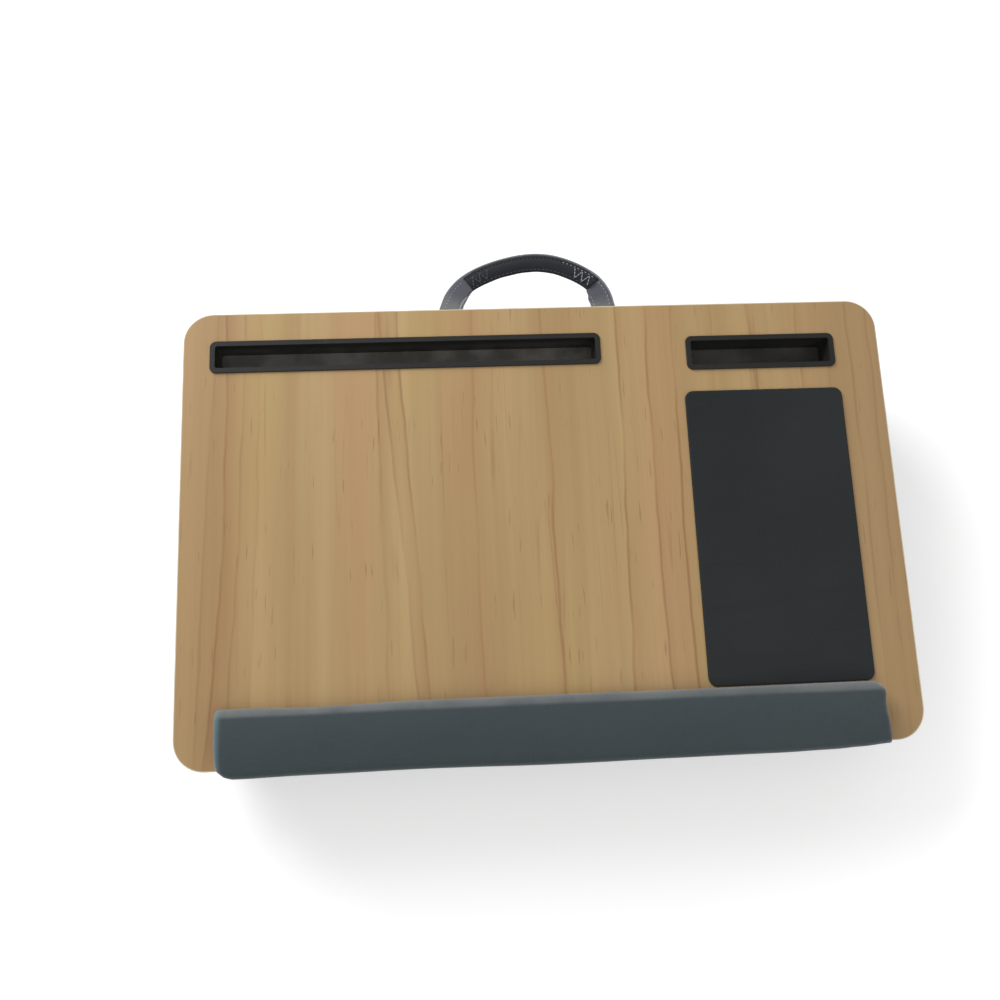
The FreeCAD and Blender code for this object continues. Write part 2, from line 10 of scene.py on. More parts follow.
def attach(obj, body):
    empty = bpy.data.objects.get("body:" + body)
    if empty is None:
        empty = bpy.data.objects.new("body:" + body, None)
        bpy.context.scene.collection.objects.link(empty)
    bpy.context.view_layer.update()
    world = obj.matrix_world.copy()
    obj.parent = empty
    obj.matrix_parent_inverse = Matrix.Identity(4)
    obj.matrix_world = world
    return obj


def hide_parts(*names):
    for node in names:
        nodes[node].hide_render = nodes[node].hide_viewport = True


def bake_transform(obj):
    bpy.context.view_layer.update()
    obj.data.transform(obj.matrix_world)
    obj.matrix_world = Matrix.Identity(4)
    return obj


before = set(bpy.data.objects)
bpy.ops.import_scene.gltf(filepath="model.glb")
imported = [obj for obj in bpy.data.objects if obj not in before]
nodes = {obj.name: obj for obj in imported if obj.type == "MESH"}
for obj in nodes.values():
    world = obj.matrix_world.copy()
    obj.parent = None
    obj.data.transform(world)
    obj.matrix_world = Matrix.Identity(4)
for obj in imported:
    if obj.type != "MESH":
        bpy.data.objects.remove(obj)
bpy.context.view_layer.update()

# Pieces are modelled in millimetres in the board's own frame: x to the right, y to the back and z up
# from the middle of its underside. This matrix stands them up with the desk, in metres.
MM = 0.001
TILT = math.radians(5.5381254)
BOARD_LIFT = 67.0120999
BOARD_SHIFT = -23.101528
STANDING = (Matrix.Scale(MM, 4) @ Matrix.Translation((0, BOARD_SHIFT, BOARD_LIFT))
            @ Matrix.Rotation(TILT, 4, "X"))
LYING = STANDING.inverted()

# The board, the panel under its base, and where the bolsters are sewn on.
BOARD_HALF_X, BOARD_HALF_Y, BOARD_TOP = 275.0, 172.5, 10.0
PANEL_HALF_X, PANEL_HALF_Y, PANEL_RADIUS = 260.0, 157.5, 14.0
BASE_DEPTH = 20.0
SEAT = -21.3
THREAD_LENGTH, THREAD_GAP = 2.2, 1.3
# The lowest that a cushion lies over the floor, in metres.
FLOOR_GAP = 0.0002


# Finishes

def tone(red, green, blue):
    """A colour from its display values, 0 to 255."""
    shares = (red / 255, green / 255, blue / 255)
    linear = [s / 12.92 if s <= 0.04045 else ((s + 0.055) / 1.055) ** 2.4 for s in shares]
    return (*linear, 1.0)


class Finish:
    """One procedural material and short ways to wire it."""

    def __init__(self, name, sockets):
        self.material = bpy.data.materials.new(name)
        self.material.use_nodes = True
        self.tree = self.material.node_tree
        self.shader = self.tree.nodes["Principled BSDF"]
        for socket, value in sockets.items():
            self.shader.inputs[socket].default_value = value

    def node(self, kind, inputs=None, **settings):
        made = self.tree.nodes.new("ShaderNode" + kind)
        for key, value in settings.items():
            setattr(made, key, value)
        for socket, value in (inputs or {}).items():
            if isinstance(value, bpy.types.NodeSocket):
                self.tree.links.new(value, made.inputs[socket])
            else:
                made.inputs[socket].default_value = value
        return made

    def place(self, scale=(1, 1, 1), turn=(0, 0, 0), uv=None):
        """Object coordinates, or the piece's cloth coordinates, scaled and turned."""
        if uv:
            source = self.node("UVMap", uv_map=uv).outputs[0]
        else:
            source = self.node("TexCoord").outputs["Object"]
        return self.node("Mapping", {"Vector": source, "Scale": scale, "Rotation": turn}).outputs[0]

    def grains(self, vector, scale=1.0, detail=2.0, roughness=0.5, distortion=0.0):
        inputs = {"Vector": vector, "Scale": scale, "Detail": detail, "Roughness": roughness,
                  "Distortion": distortion}
        return self.node("TexNoise", inputs).outputs[0]

    def maths(self, operation, first, second=0.0):
        return self.node("Math", {0: first, 1: second}, operation=operation).outputs[0]

    def times(self, first, second):
        return self.maths("MULTIPLY", first, second)

    def multiply_add(self, first, second, third):
        return self.node("Math", {0: first, 1: second, 2: third}, operation="MULTIPLY_ADD").outputs[0]

    def between(self, value, low, high, start=0.0, end=1.0):
        """Value stretched from low..high to start..end, smoothly and clamped."""
        inputs = {"Value": value, "From Min": low, "From Max": high, "To Min": start, "To Max": end}
        return self.node("MapRange", inputs, interpolation_type="SMOOTHSTEP").outputs[0]

    def tones(self, value, stops):
        ramp = self.node("ValToRGB", {"Fac": value})
        elements = ramp.color_ramp.elements
        while len(elements) < len(stops):
            elements.new(1.0)
        for element, (position, colour) in zip(elements, stops):
            element.position = position
            element.color = colour
        return ramp.outputs[0]

    def mix(self, share, first, second, blend="MIX"):
        made = self.node("Mix", {0: share, 6: first, 7: second}, data_type="RGBA", blend_type=blend)
        return made.outputs[2]

    def colour(self, socket):
        self.tree.links.new(socket, self.shader.inputs["Base Color"])

    def gloss(self, socket):
        self.tree.links.new(socket, self.shader.inputs["Roughness"])

    def relief(self, layers):
        """Bump layers, each a height and its depth in metres, chained from the broadest to the finest."""
        normal = None
        for height, depth in layers:
            inputs = {"Height": height, "Distance": depth, "Strength": 1.0}
            if normal:
                inputs["Normal"] = normal
            normal = self.node("Bump", inputs).outputs[0]
        self.tree.links.new(normal, self.shader.inputs["Normal"])


# Growth lines of the printed wood, in millimetres: where each crosses the board's middle, how much it slants
# and bends by the board's back edge, how far its shade reaches (to the left where negative), and how dark its
# shade and its line are.
GROWTH_LINES = (
    (-255.0, 6.0, 0.0, 12.0, 0.35, 0.4), (-241.0, 5.7, -7.8, 17.0, 0.75, 0.95),
    (-229.8, 6.2, -4.6, 9.0, 0.3, 0.55), (-217.5, 4.0, -2.0, -10.0, 0.35, 0.3),
    (-190.0, 3.0, 2.0, -24.0, 0.3, 0.0), (-123.5, -3.0, 0.0, 15.0, 0.5, 0.45),
    (-109.8, -14.5, 0.0, 9.0, 0.5, 0.7), (-99.9, -11.3, 1.2, -10.0, 0.65, 0.85),
    (-52.6, -0.7, 3.0, -19.0, 0.85, 0.25), (-51.6, -0.7, 3.0, 13.0, 0.6, 0.0),
    (7.3, -2.5, -1.5, -7.0, 0.7, 0.35), (7.3, -2.5, -1.5, 5.0, 0.6, 0.0),
    (40.0, 2.0, 0.0, -12.0, 0.15, 0.0), (62.7, 2.6, -1.5, 21.0, 0.75, 0.9),
    (86.4, -0.8, 2.5, 15.0, 0.55, 0.8), (106.9, 0.2, 1.5, 6.0, 0.35, 1.0),
    (137.0, 3.0, 0.0, -16.0, 0.4, 0.4), (168.0, 2.0, 0.0, 10.0, 0.6, 0.3),
    (212.0, -4.0, 2.0, 22.0, 0.5, 0.6), (250.5, 1.0, 0.0, 12.0, 0.4, 0.5),
    (266.0, 2.0, 0.0, -9.0, 0.4, 0.4),
)
# How far a line fades out from its middle, how far the grain runs each way of the board's middle, and how far
# it wanders in long and in short waves.
LINE_CORE, LINE_FADE = 0.1, 1.7
GRAIN_REACH = 170.0
LONG_WAVE, SHORT_WAVE = 6.0, 4.4


def make_wood():
    """Printed wood laminate, its grain from front to back: growth lines, each with a shade on one side, in
    pink and yellow zones, over fine fibres and short pores."""
    wood = Finish("wood laminate", {"Roughness": 0.45, "Specular IOR Level": 0.4})
    spot = wood.node("SeparateXYZ", {0: wood.place()}).outputs

    def along(across_scale, along_scale, **settings):
        return wood.grains(wood.place((across_scale, along_scale, 0)), **settings)

    wander = wood.multiply_add(along(10, 7, detail=2.0), LONG_WAVE, -LONG_WAVE / 2)
    waver = wood.multiply_add(along(26, 19, detail=2.0), SHORT_WAVE, -SHORT_WAVE / 2)
    across = wood.multiply_add(spot[0], 1 / MM, wood.maths("ADD", wander, waver))
    back = wood.multiply_add(spot[1], 1 / (MM * GRAIN_REACH), -BOARD_SHIFT / GRAIN_REACH)
    shades, lines = [], []
    for middle, slant, bend, reach, shade, line in GROWTH_LINES:
        course = wood.multiply_add(wood.multiply_add(back, bend, slant), back, middle)
        gap = wood.maths("SUBTRACT", across, course)
        if shade:
            ramp = wood.tones(wood.multiply_add(gap, 0.5 / reach, 0.5), [
                (0.5 - 0.7 / abs(reach), (0, 0, 0, 1)), (0.5, (shade, shade, shade, 1)),
                (0.72, (0.42 * shade, 0.42 * shade, 0.42 * shade, 1)), (1.0, (0, 0, 0, 1))])
            shades.append(ramp)
        if line:
            lines.append(wood.between(wood.maths("ABSOLUTE", gap), LINE_CORE, LINE_FADE, line, 0.0))

    def gathered(layers, operation):
        total = layers[0]
        for layer in layers[1:]:
            total = wood.maths(operation, total, layer)
        return total

    broad = wood.between(along(22, 0.9, detail=3.0, roughness=0.55), 0.28, 0.72)
    base = wood.mix(broad, tone(168, 137, 94), tone(186, 158, 111))
    pink = wood.between(along(17, 1.3, detail=1.5), 0.46, 0.68, 0.0, 0.5)
    base = wood.mix(pink, base, tone(184, 145, 104))
    yellow = wood.between(along(11, 2.6, detail=1.0), 0.54, 0.74, 0.0, 0.45)
    base = wood.mix(yellow, base, tone(176, 150, 93))
    patchy = wood.between(along(9, 3.4, detail=2.0), 0.34, 0.62, 0.55, 1.0)
    shade = wood.times(gathered(shades, "ADD"), wood.times(patchy, 0.58))
    base = wood.mix(shade, base, tone(158, 116, 77))
    # Painted shade: the board darkens towards its right edge, and a little towards its left, where less light
    # falls.
    side_painted_shade = wood.between(across, 205.0, 262.0, 0.0, 0.42)
    side_painted_shade = wood.maths("MAXIMUM", side_painted_shade, wood.between(across, -262.0, -215.0, 0.16, 0.0))
    base = wood.mix(side_painted_shade, base, tone(152, 116, 84))
    broken = wood.between(along(13, 8.0, detail=2.0), 0.34, 0.62, 0.1, 1.0)
    line = wood.times(gathered(lines, "MAXIMUM"), wood.times(broken, 0.6))
    base = wood.mix(line, base, tone(138, 98, 62))
    fibres = wood.between(along(310, 5.0, detail=3.0, roughness=0.62), 0.32, 0.68)
    base = wood.mix(wood.times(fibres, 0.1), base, tone(146, 114, 76))
    ridge = wood.maths("ABSOLUTE", wood.maths("SUBTRACT", along(52, 1.2, detail=1.0), 0.5))
    breaks = wood.between(along(30, 7.0, detail=2.0), 0.52, 0.68)
    hairs = wood.times(wood.between(ridge, 0.0, 0.014, 1.0, 0.0), breaks)
    base = wood.mix(wood.times(hairs, 0.36), base, tone(134, 98, 62))
    pores = wood.between(along(430, 30, detail=1.0), 0.66, 0.75)
    patches = wood.between(along(16, 9, detail=1.0), 0.4, 0.55)
    pores = wood.times(pores, patches)
    base = wood.mix(wood.times(pores, 0.46), base, tone(130, 98, 63))
    wood.colour(base)
    wood.gloss(wood.between(fibres, 0.0, 1.0, 0.42, 0.5))
    wood.relief([(fibres, -0.00002), (pores, -0.00003)])
    return wood.material


def make_edge_trim():
    """Cream plastic edge band with a faint drawn grain and rubbed spots."""
    trim = Finish("cream edge band", {"Roughness": 0.4})
    streaks = trim.grains(trim.place((60, 60, 900)), detail=2.0)
    rubbed = trim.between(trim.grains(trim.place((20, 20, 20)), detail=2.0), 0.55, 0.75)
    colour = trim.tones(streaks, [(0.3, tone(198, 185, 157)), (0.7, tone(216, 204, 178))])
    trim.colour(trim.mix(trim.times(rubbed, 0.3), colour, tone(184, 172, 148)))
    trim.gloss(trim.between(rubbed, 0.0, 1.0, 0.36, 0.52))
    trim.relief([(streaks, 0.00004)])
    return trim.material


def make_tray_plastic():
    """Black moulded plastic with a fine spark texture and scuffs, and a pale layer on the trays' floors,
    stronger towards the left, that is partly dust and partly painted light where light reaches into the
    slots."""
    plastic = Finish("black moulded plastic", {"Roughness": 0.5, "Specular IOR Level": 0.3})
    level = plastic.place((1, 1, 1), turn=(-TILT, 0, 0))
    height = plastic.node("SeparateXYZ", {0: level}).outputs[2]
    top = (BOARD_LIFT + BOARD_TOP * math.cos(TILT)) * MM
    depth = plastic.between(height, top - 0.012, top - 0.001, 1.0, 0.0)
    cloud = plastic.between(plastic.grains(plastic.place((40, 40, 40)), detail=4.0), 0.35, 0.65, 0.5, 1.0)
    facing = plastic.node("SeparateXYZ", {0: plastic.node("NewGeometry").outputs["True Normal"]}).outputs[2]
    # Partly dust, partly painted light: a paler tone on upward faces deep in the trays, stronger towards the
    # left.
    dust_and_painted_light = plastic.times(cloud, plastic.between(facing, 0.4, 0.95, 0.3))
    dust_and_painted_light = plastic.times(depth, dust_and_painted_light)
    sideways = plastic.node("SeparateXYZ", {0: plastic.place()}).outputs[0]
    dust_and_painted_light = plastic.times(dust_and_painted_light, plastic.between(sideways, 0.09, 0.02, 0.4, 1.0))
    grain = plastic.grains(plastic.place(), scale=1900, detail=2.0, roughness=0.65)
    scuffs = plastic.between(plastic.grains(plastic.place((300, 25, 60)), detail=3.0), 0.62, 0.78)
    colour = plastic.tones(grain, [(0.35, tone(27, 28, 27)), (0.7, tone(38, 39, 37))])
    colour = plastic.mix(plastic.times(scuffs, 0.2), colour, tone(62, 63, 62))
    plastic.colour(plastic.mix(plastic.times(dust_and_painted_light, 0.8), colour, tone(142, 138, 130)))
    plastic.gloss(plastic.between(grain, 0.3, 0.7, 0.5, 0.65))
    plastic.relief([(grain, 0.00006)])
    return plastic.material


def make_pad_skin():
    """Smooth matt skin of the mouse pad: a tight pebble, with faint wiping marks."""
    skin = Finish("mouse pad skin", {"Roughness": 0.65, "Specular IOR Level": 0.2})
    cells = skin.node("TexVoronoi", {"Vector": skin.place(), "Scale": 1300.0}, feature="SMOOTH_F1").outputs[0]
    cloud = skin.grains(skin.place((9, 9, 9)), detail=3.0)
    wiped = skin.grains(skin.place((12, 60, 12)), detail=3.0, distortion=1.0)
    colour = skin.tones(cloud, [(0.3, tone(32, 36, 37)), (0.7, tone(40, 43, 44))])
    skin.colour(skin.mix(skin.between(cells, 0.0, 0.7, 0.0, 0.3), colour, tone(50, 53, 53)))
    skin.gloss(skin.between(wiped, 0.35, 0.7, 0.6, 0.75))
    skin.relief([(cells, 0.00005)])
    return skin.material


def make_cloth(name, dark, light, pitch=0.7, sheen=0.25, mottle=0.5, painted_highlights=()):
    """Woven polyester: warp and weft cross at pitch millimetres, with uneven threads and soft mottling. Each
    painted highlight is a strip along an axis of the cloth map, given as that axis, the places where it fades
    in
    and is full, its strength and its colour: a paler tone painted where light catches the cloth."""
    cloth = Finish(name, {"Roughness": 0.85, "Sheen Weight": sheen, "Sheen Roughness": 0.45,
                          "Specular IOR Level": 0.2})
    turns = math.pi / pitch
    across = cloth.node("SeparateXYZ", {0: cloth.place((turns, turns, 1), uv="cloth")})
    warp = cloth.maths("SINE", across.outputs[0])
    weft = cloth.maths("SINE", across.outputs[1])
    crossing = cloth.times(warp, weft)
    height = cloth.maths("POWER", cloth.maths("ABSOLUTE", crossing), 0.5)
    over = cloth.between(crossing, -0.2, 0.2)
    warp_slub = cloth.grains(cloth.place((1.6, 0.09, 1), uv="cloth"), detail=2.0, roughness=0.6)
    weft_slub = cloth.grains(cloth.place((0.09, 1.6, 1), uv="cloth"), detail=2.0, roughness=0.6)
    slub = cloth.node("Mix", {0: over, 2: warp_slub, 3: weft_slub}).outputs[0]
    colour = cloth.tones(slub, [(0.3, dark), (0.72, light)])
    shaded = cloth.mix(cloth.between(height, 0.0, 0.9, 0.5, 0.0), colour, dark)
    cloud = cloth.between(cloth.grains(cloth.place((14, 14, 14)), detail=3.0), 0.35, 0.65, 0.0, mottle)
    colour = cloth.mix(cloud, shaded, cloth.mix(0.5, dark, light))
    flat = cloth.node("SeparateXYZ", {0: cloth.place(uv="cloth")}).outputs
    # Painted highlights: each strip mixes a paler tone into the cloth, broken up by noise, where light would
    # catch it.
    highlight_breakup = cloth.between(cloth.grains(cloth.place((24, 24, 24)), detail=3.0), 0.3, 0.6, 0.55, 1.0)
    for axis, start, full, strength, highlight_tone in painted_highlights:
        strip = cloth.times(highlight_breakup, cloth.between(flat[axis], start, full, 0.0, strength))
        colour = cloth.mix(strip, colour, highlight_tone)
    cloth.colour(colour)
    crease = cloth.grains(cloth.place((45, 45, 45)), detail=2.0)
    cloth.relief([(crease, 0.00025), (height, 0.00012)])
    return cloth.material


def make_thread(name, colour):
    """Twisted sewing thread: fine slanting strands."""
    thread = Finish(name, {"Roughness": 0.7, "Sheen Weight": 0.2})
    twist = thread.grains(thread.place((1500, 1500, 1500)), detail=2.0)
    dark = tuple(0.6 * c for c in colour[:3]) + (1.0,)
    thread.colour(thread.tones(twist, [(0.35, dark), (0.65, colour)]))
    thread.relief([(twist, 0.0001)])
    return thread.material


def make_speckled(name, dark, light, scale, roughness, depth, metal=0.0):
    """A plain stuff of small grains, such as fibre board, foam or wire."""
    stuff = Finish(name, {"Roughness": roughness, "Metallic": metal})
    grain = stuff.grains(stuff.place(), scale=scale, detail=4.0, roughness=0.6)
    cloud = stuff.grains(stuff.place(), scale=scale / 30, detail=2.0)
    colour = stuff.tones(grain, [(0.35, dark), (0.65, light)])
    stuff.colour(stuff.mix(stuff.between(cloud, 0.4, 0.7, 0.0, 0.4), colour, dark))
    stuff.gloss(stuff.between(grain, 0.3, 0.7, roughness - 0.08, roughness + 0.08))
    stuff.relief([(grain, depth)])
    return stuff.material


# Painted highlights: pale strips of colour where light catches the wrist rest's cloth along its back edge and
# at its left end, and where it catches the strap's two ends, towards the board.
REST_PAINTED_HIGHLIGHTS = ((1, -160.5, -156.5, 0.75, tone(112, 115, 116)), (0, -236.5, -241.5, 0.6, tone(98, 124, 130)))
STRAP_PAINTED_HIGHLIGHTS = ((0, 36.0, 21.0, 0.6, tone(138, 141, 140)),)

FINISHES = {
    "wood": make_wood(),
    "trim": make_edge_trim(),
    "tray": make_tray_plastic(),
    "skin": make_pad_skin(),
    "base": make_cloth("slate blue cloth", tone(74, 82, 89), tone(98, 107, 114)),
    "band": make_cloth("light grey cloth", tone(106, 113, 117), tone(134, 141, 144), sheen=0.35),
    # The wrist rest's and the strap's cloth carry painted highlights.
    "rest": make_cloth("dark slate cloth", tone(55, 65, 69), tone(66, 77, 80), pitch=0.6, sheen=0.5,
                       mottle=0.8, painted_highlights=REST_PAINTED_HIGHLIGHTS),
    "strap": make_cloth("strap cloth", tone(74, 75, 83), tone(104, 105, 114), pitch=0.6, painted_highlights=STRAP_PAINTED_HIGHLIGHTS),
    "grip": make_cloth("folded grip cloth", tone(30, 32, 36), tone(46, 48, 53), pitch=0.6, sheen=0.1),
    "rim": make_cloth("strap rim cloth", tone(112, 114, 120), tone(148, 150, 156), pitch=0.6),
    "cord": make_cloth("piping cloth", tone(128, 136, 137), tone(176, 183, 183), pitch=0.5),
    "thread": make_thread("pale thread", tone(186, 190, 196)),
    "tack": make_thread("white thread", tone(226, 228, 228)),
    "dim": make_thread("grey thread", tone(84, 85, 94)),
    "zigzag": make_thread("lilac grey thread", tone(150, 150, 166)),
    "faint": make_thread("dark grey thread", tone(66, 66, 74)),
    "fibre": make_speckled("fibre board", tone(118, 88, 56), tone(156, 122, 82), 700, 0.85, 0.0001),
    "back": make_speckled("backing paper", tone(196, 190, 176), tone(214, 209, 196), 300, 0.6, 0.00003),
    "rubber": make_speckled("pad foam rubber", tone(22, 22, 23), tone(38, 38, 39), 1500, 0.9, 0.0002),
    "foam": make_speckled("grey foam", tone(96, 98, 100), tone(140, 142, 143), 500, 0.95, 0.0005),
    "tape": make_speckled("adhesive strip", tone(196, 192, 178), tone(222, 219, 206), 250, 0.35, 0.00002),
    "wire": make_speckled("zinc wire", tone(150, 152, 155), tone(190, 192, 195), 900, 0.35, 0.00002, 1.0),
}

CAD_FINISHES = {
    "wood_laminate": "wood", "edge_band": "trim", "tablet_tray": "tray", "phone_tray": "tray",
    "board_core": "fibre", "backing_laminate": "back", "mouse_pad_backing": "rubber",
    "base_foam": "foam", "wrist_rest_tape": "tape", "hem_staples": "wire", "tail_staples": "wire",
}
for node_name, finish_name in CAD_FINISHES.items():
    for place in nodes[node_name].material_slots:
        place.material = FINISHES[finish_name]


# Shared steps of the modelling

def nothing_selected():
    for thing in list(bpy.context.selected_objects):
        thing.select_set(False)


def take(piece):
    """Makes a piece the only one selected, and the active one."""
    nothing_selected()
    piece.select_set(True)
    bpy.context.view_layer.objects.active = piece


def name_primitive(name):
    piece = bpy.context.object
    piece.name = name
    piece.data.name = name
    return piece


def show(name, data):
    """Puts a mesh, curve, lamp or camera in the scene."""
    thing = bpy.data.objects.new(name, data)
    bpy.context.scene.collection.objects.link(thing)
    return thing


def new_piece(name, vertices, faces):
    mesh = bpy.data.meshes.new(name)
    mesh.from_pydata([tuple(v) for v in vertices], [], faces)
    return show(name, mesh)


def pick(piece, kind, wanted):
    """In edit mode, selects only the faces or edges that are wanted."""
    bpy.ops.mesh.select_all(action="DESELECT")
    bpy.ops.mesh.select_mode(type=kind)
    work = bmesh.from_edit_mesh(piece.data)
    for element in work.faces if kind == "FACE" else work.edges:
        if wanted(element):
            element.select_set(True)
    work.select_flush_mode()
    bmesh.update_edit_mesh(piece.data)


def face_outwards(piece):
    """Turns a piece's faces to look outwards."""
    take(piece)
    bpy.ops.object.mode_set(mode="EDIT")
    bpy.ops.mesh.select_all(action="SELECT")
    bpy.ops.mesh.normals_make_consistent(inside=False)
    bpy.ops.object.mode_set(mode="OBJECT")


def tube_faces(count, size):
    """Quads that join rings of points, one ring after another."""
    faces = []
    for first in range(0, (count - 1) * size, size):
        for i in range(size):
            j = (i + 1) % size
            faces.append((first + i, first + j, first + size + j, first + size + i))
    return faces


def close_end(vertices, faces, edge, layers, tip):
    """Closes a tube from its edge ring, over layers of points drawn in from it, to a tip."""
    size = len(layers[0])
    previous = edge
    for layer in layers:
        first = len(vertices)
        vertices.extend(layer)
        for i in range(size):
            j = (i + 1) % size
            faces.append((previous + i, previous + j, first + j, first + i))
        previous = first
    vertices.append(tip)
    faces.extend((previous + i, previous + (i + 1) % size, len(vertices) - 1) for i in range(size))


def apply_all(piece):
    take(piece)
    for modifier in list(piece.modifiers):
        bpy.ops.object.modifier_apply(modifier=modifier.name)


def thicken(piece, thickness):
    """Gives a sheet its thickness, inwards."""
    solid = piece.modifiers.new("thickness", "SOLIDIFY")
    solid.thickness = thickness
    solid.offset = -1.0
    apply_all(piece)


def round_over(piece):
    smooth = piece.modifiers.new("smooth", "SUBSURF")
    smooth.levels = smooth.render_levels = 1
    apply_all(piece)


def set_cloth_map(piece, lay):
    """Writes the cloth map: lay gives each vertex's place on the flat cloth, in millimetres."""
    layer = piece.data.uv_layers.new(name="cloth")
    for loop in piece.data.loops:
        layer.data[loop.index].uv = lay(piece.data.vertices[loop.vertex_index].co)


def finish_piece(piece, finish, body="desk", replaced=(), angle=None):
    """Stands a piece up, smooths its faces, gives it its finish and lets it ride."""
    piece.data.transform(STANDING)
    for polygon in piece.data.polygons:
        polygon.use_smooth = True
    if angle:
        take(piece)
        bpy.ops.object.shade_smooth_by_angle(angle=math.radians(angle))
    piece.data.materials.append(FINISHES[finish])
    if body:
        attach(piece, body)
    if replaced:
        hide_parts(*replaced)
    return piece


def model_thread():
    """One stitch, lying along x: a short spindle that dips into the cloth at both ends."""
    nothing_selected()
    bpy.ops.mesh.primitive_uv_sphere_add(segments=8, ring_count=6, radius=1.0, rotation=(0, math.pi / 2, 0))
    spindle = name_primitive("one_stitch")
    spindle.data.transform(spindle.matrix_world)
    points = []
    for vertex in spindle.data.vertices:
        x, y, z = vertex.co
        points.append(Vector((x, y, z - 0.5 * x * x)))
    faces = [tuple(p.vertices) for p in spindle.data.polygons]
    bpy.data.objects.remove(spindle)
    return points, faces


THREAD = model_thread()


def sew(name, seams, finish, body, thickness=0.32):
    """Stitches along seams: each seam is a list of points with the cloth's outward direction there."""
    vertices, faces = [], []
    for seam in seams:
        for (start, up), (end, _) in seam:
            along = end - start
            out = (up - along * (up.dot(along) / along.length_squared)).normalized()
            side = out.cross(along.normalized())
            middle = (start + end) / 2
            base = len(vertices)
            for x, y, z in THREAD[0]:
                vertices.append(middle + along * (x / 2) + side * (y * thickness) + out * (z * thickness))
            faces.extend(tuple(base + i for i in face) for face in THREAD[1])
    return finish_piece(new_piece(name, vertices, faces), finish, body)


def stitches_along(line, length=THREAD_LENGTH, gap=THREAD_GAP):
    """Cuts a line of (point, outward) pairs into stitches: pairs of its ends."""
    stitches = []
    start = None
    travelled = 0.0
    target = 0.0
    for (p, n), (q, m) in zip(line, line[1:]):
        step = (q - p).length
        while travelled + step >= target:
            share = (target - travelled) / step if step else 0.0
            spot = (p.lerp(q, share), n.lerp(m, share))
            if start is None:
                start = spot
                target += length
            else:
                stitches.append((start, spot))
                start = None
                target += gap
        travelled += step
    return stitches


def lumps(x, y, z):
    """Smooth unevenness, -1 to 1."""
    return noise.noise(Vector((x, y, z)))


def clamped(share):
    return min(1.0, max(0.0, share))


def eased(share):
    """0 to 1, slow at both ends."""
    share = clamped(share)
    return share * share * (3 - 2 * share)


def steady_curve(knots, place):
    """The value at a place on an eased line through knots of (place, value), in rising or falling order."""
    if (place - knots[0][0]) * (knots[1][0] - knots[0][0]) <= 0:
        return knots[0][1]
    for (a, u), (b, v) in zip(knots, knots[1:]):
        if (place - a) * (place - b) <= 0:
            return u + (v - u) * eased((place - a) / (b - a))
    return knots[-1][1]


def surface(mesh, places):
    """A mesh's faces as a surface to shoot lines at, its vertices at the given places."""
    return BVHTree.FromPolygons(places, [list(p.vertices) for p in mesh.polygons])


def cad_skin(name):
    """The surface of a CAD node in the board's own frame, to lay a finer mesh on."""
    mesh = nodes[name].data
    return surface(mesh, [LYING @ v.co for v in mesh.vertices])


# Bolsters

LEAN = math.tan(math.radians(12.0))
BOLSTERS = {
    "rear_bolster": {"width": 90.0, "height": 57.0, "half": 259.0, "y": 112.0},
    "front_bolster": {"width": 61.0, "height": 34.0, "half": 258.0, "y": -126.5},
}
AROUND = 112
END_STEPS = (0.3, 1.6, 3.4, 5.6, 8.2, 11.2, 14.6, 18.4, 22.6, 27.4, 33.0, 39.5, 47.0, 55.0)
DOME_SHARES = (0.975, 0.9, 0.78, 0.62, 0.42, 0.2)
DOME_FAR = 40.0
# The axis that a bolster's rings turn about, as a share of its height below the seat, and how far in from its
# ends they lean, as a share of its width.
AXIS_SHARE = 0.46
LEANING_SHARE = 0.62
RING_PITCH = 8.5
# The stuffing's lumps are evened out over this many rings each way, by this share.
CALM_RINGS = 7
CALM_SHARE = 0.75
# The cloth is held this close to the seat and the floor, and swells fully this far in from its ends.
HELD_DEPTH = 0.6
SWELL_RUN = 40.0
SWELL_FRAMES = 20
STUFFING = {
    "quality": 6, "mass": 0.25, "tension_stiffness": 30, "compression_stiffness": 30, "shear_stiffness": 8,
    "bending_stiffness": 0.4, "use_pressure": True, "uniform_pressure_force": 4.0,
    "vertex_group_mass": "held", "vertex_group_shrink": "full", "shrink_min": -0.045, "shrink_max": -0.004,
}


def station_ray(bolster, side, inward, angle):
    """The axis point of a station and its direction outwards at an angle; stations lean near the ends."""
    end_length = LEANING_SHARE * bolster["width"]
    lean = LEAN * max(0.0, 1 - inward / end_length)
    axis_drop = AXIS_SHARE * bolster["height"]
    y_out, z_out = math.sin(angle), math.cos(angle)
    axis = Vector((side * (bolster["half"] - inward + axis_drop * lean), bolster["y"], SEAT - axis_drop))
    return axis, Vector((-side * z_out * lean, y_out, z_out))


def skin_point(skin, axis, out, far=90.0):
    """Where the line from far outside towards the axis first meets the skin."""
    hit, normal, _, _ = skin.ray_cast(axis + out * far, -out)
    return hit, normal


def bolster_stations(bolster):
    """Side and distance in from the end ring of every ring of the mesh, from left to right."""
    half = bolster["half"]
    middle_gap = 2 * (half - END_STEPS[-1])
    count = round(middle_gap / RING_PITCH)
    left = [(-1, d) for d in END_STEPS]
    middle = [(-1, END_STEPS[-1] + middle_gap * i / count) for i in range(1, count)]
    middle = [(side, d) if d <= half else (1, 2 * half - d) for side, d in middle]
    right = [(1, d) for d in reversed(END_STEPS)]
    return left + middle + right


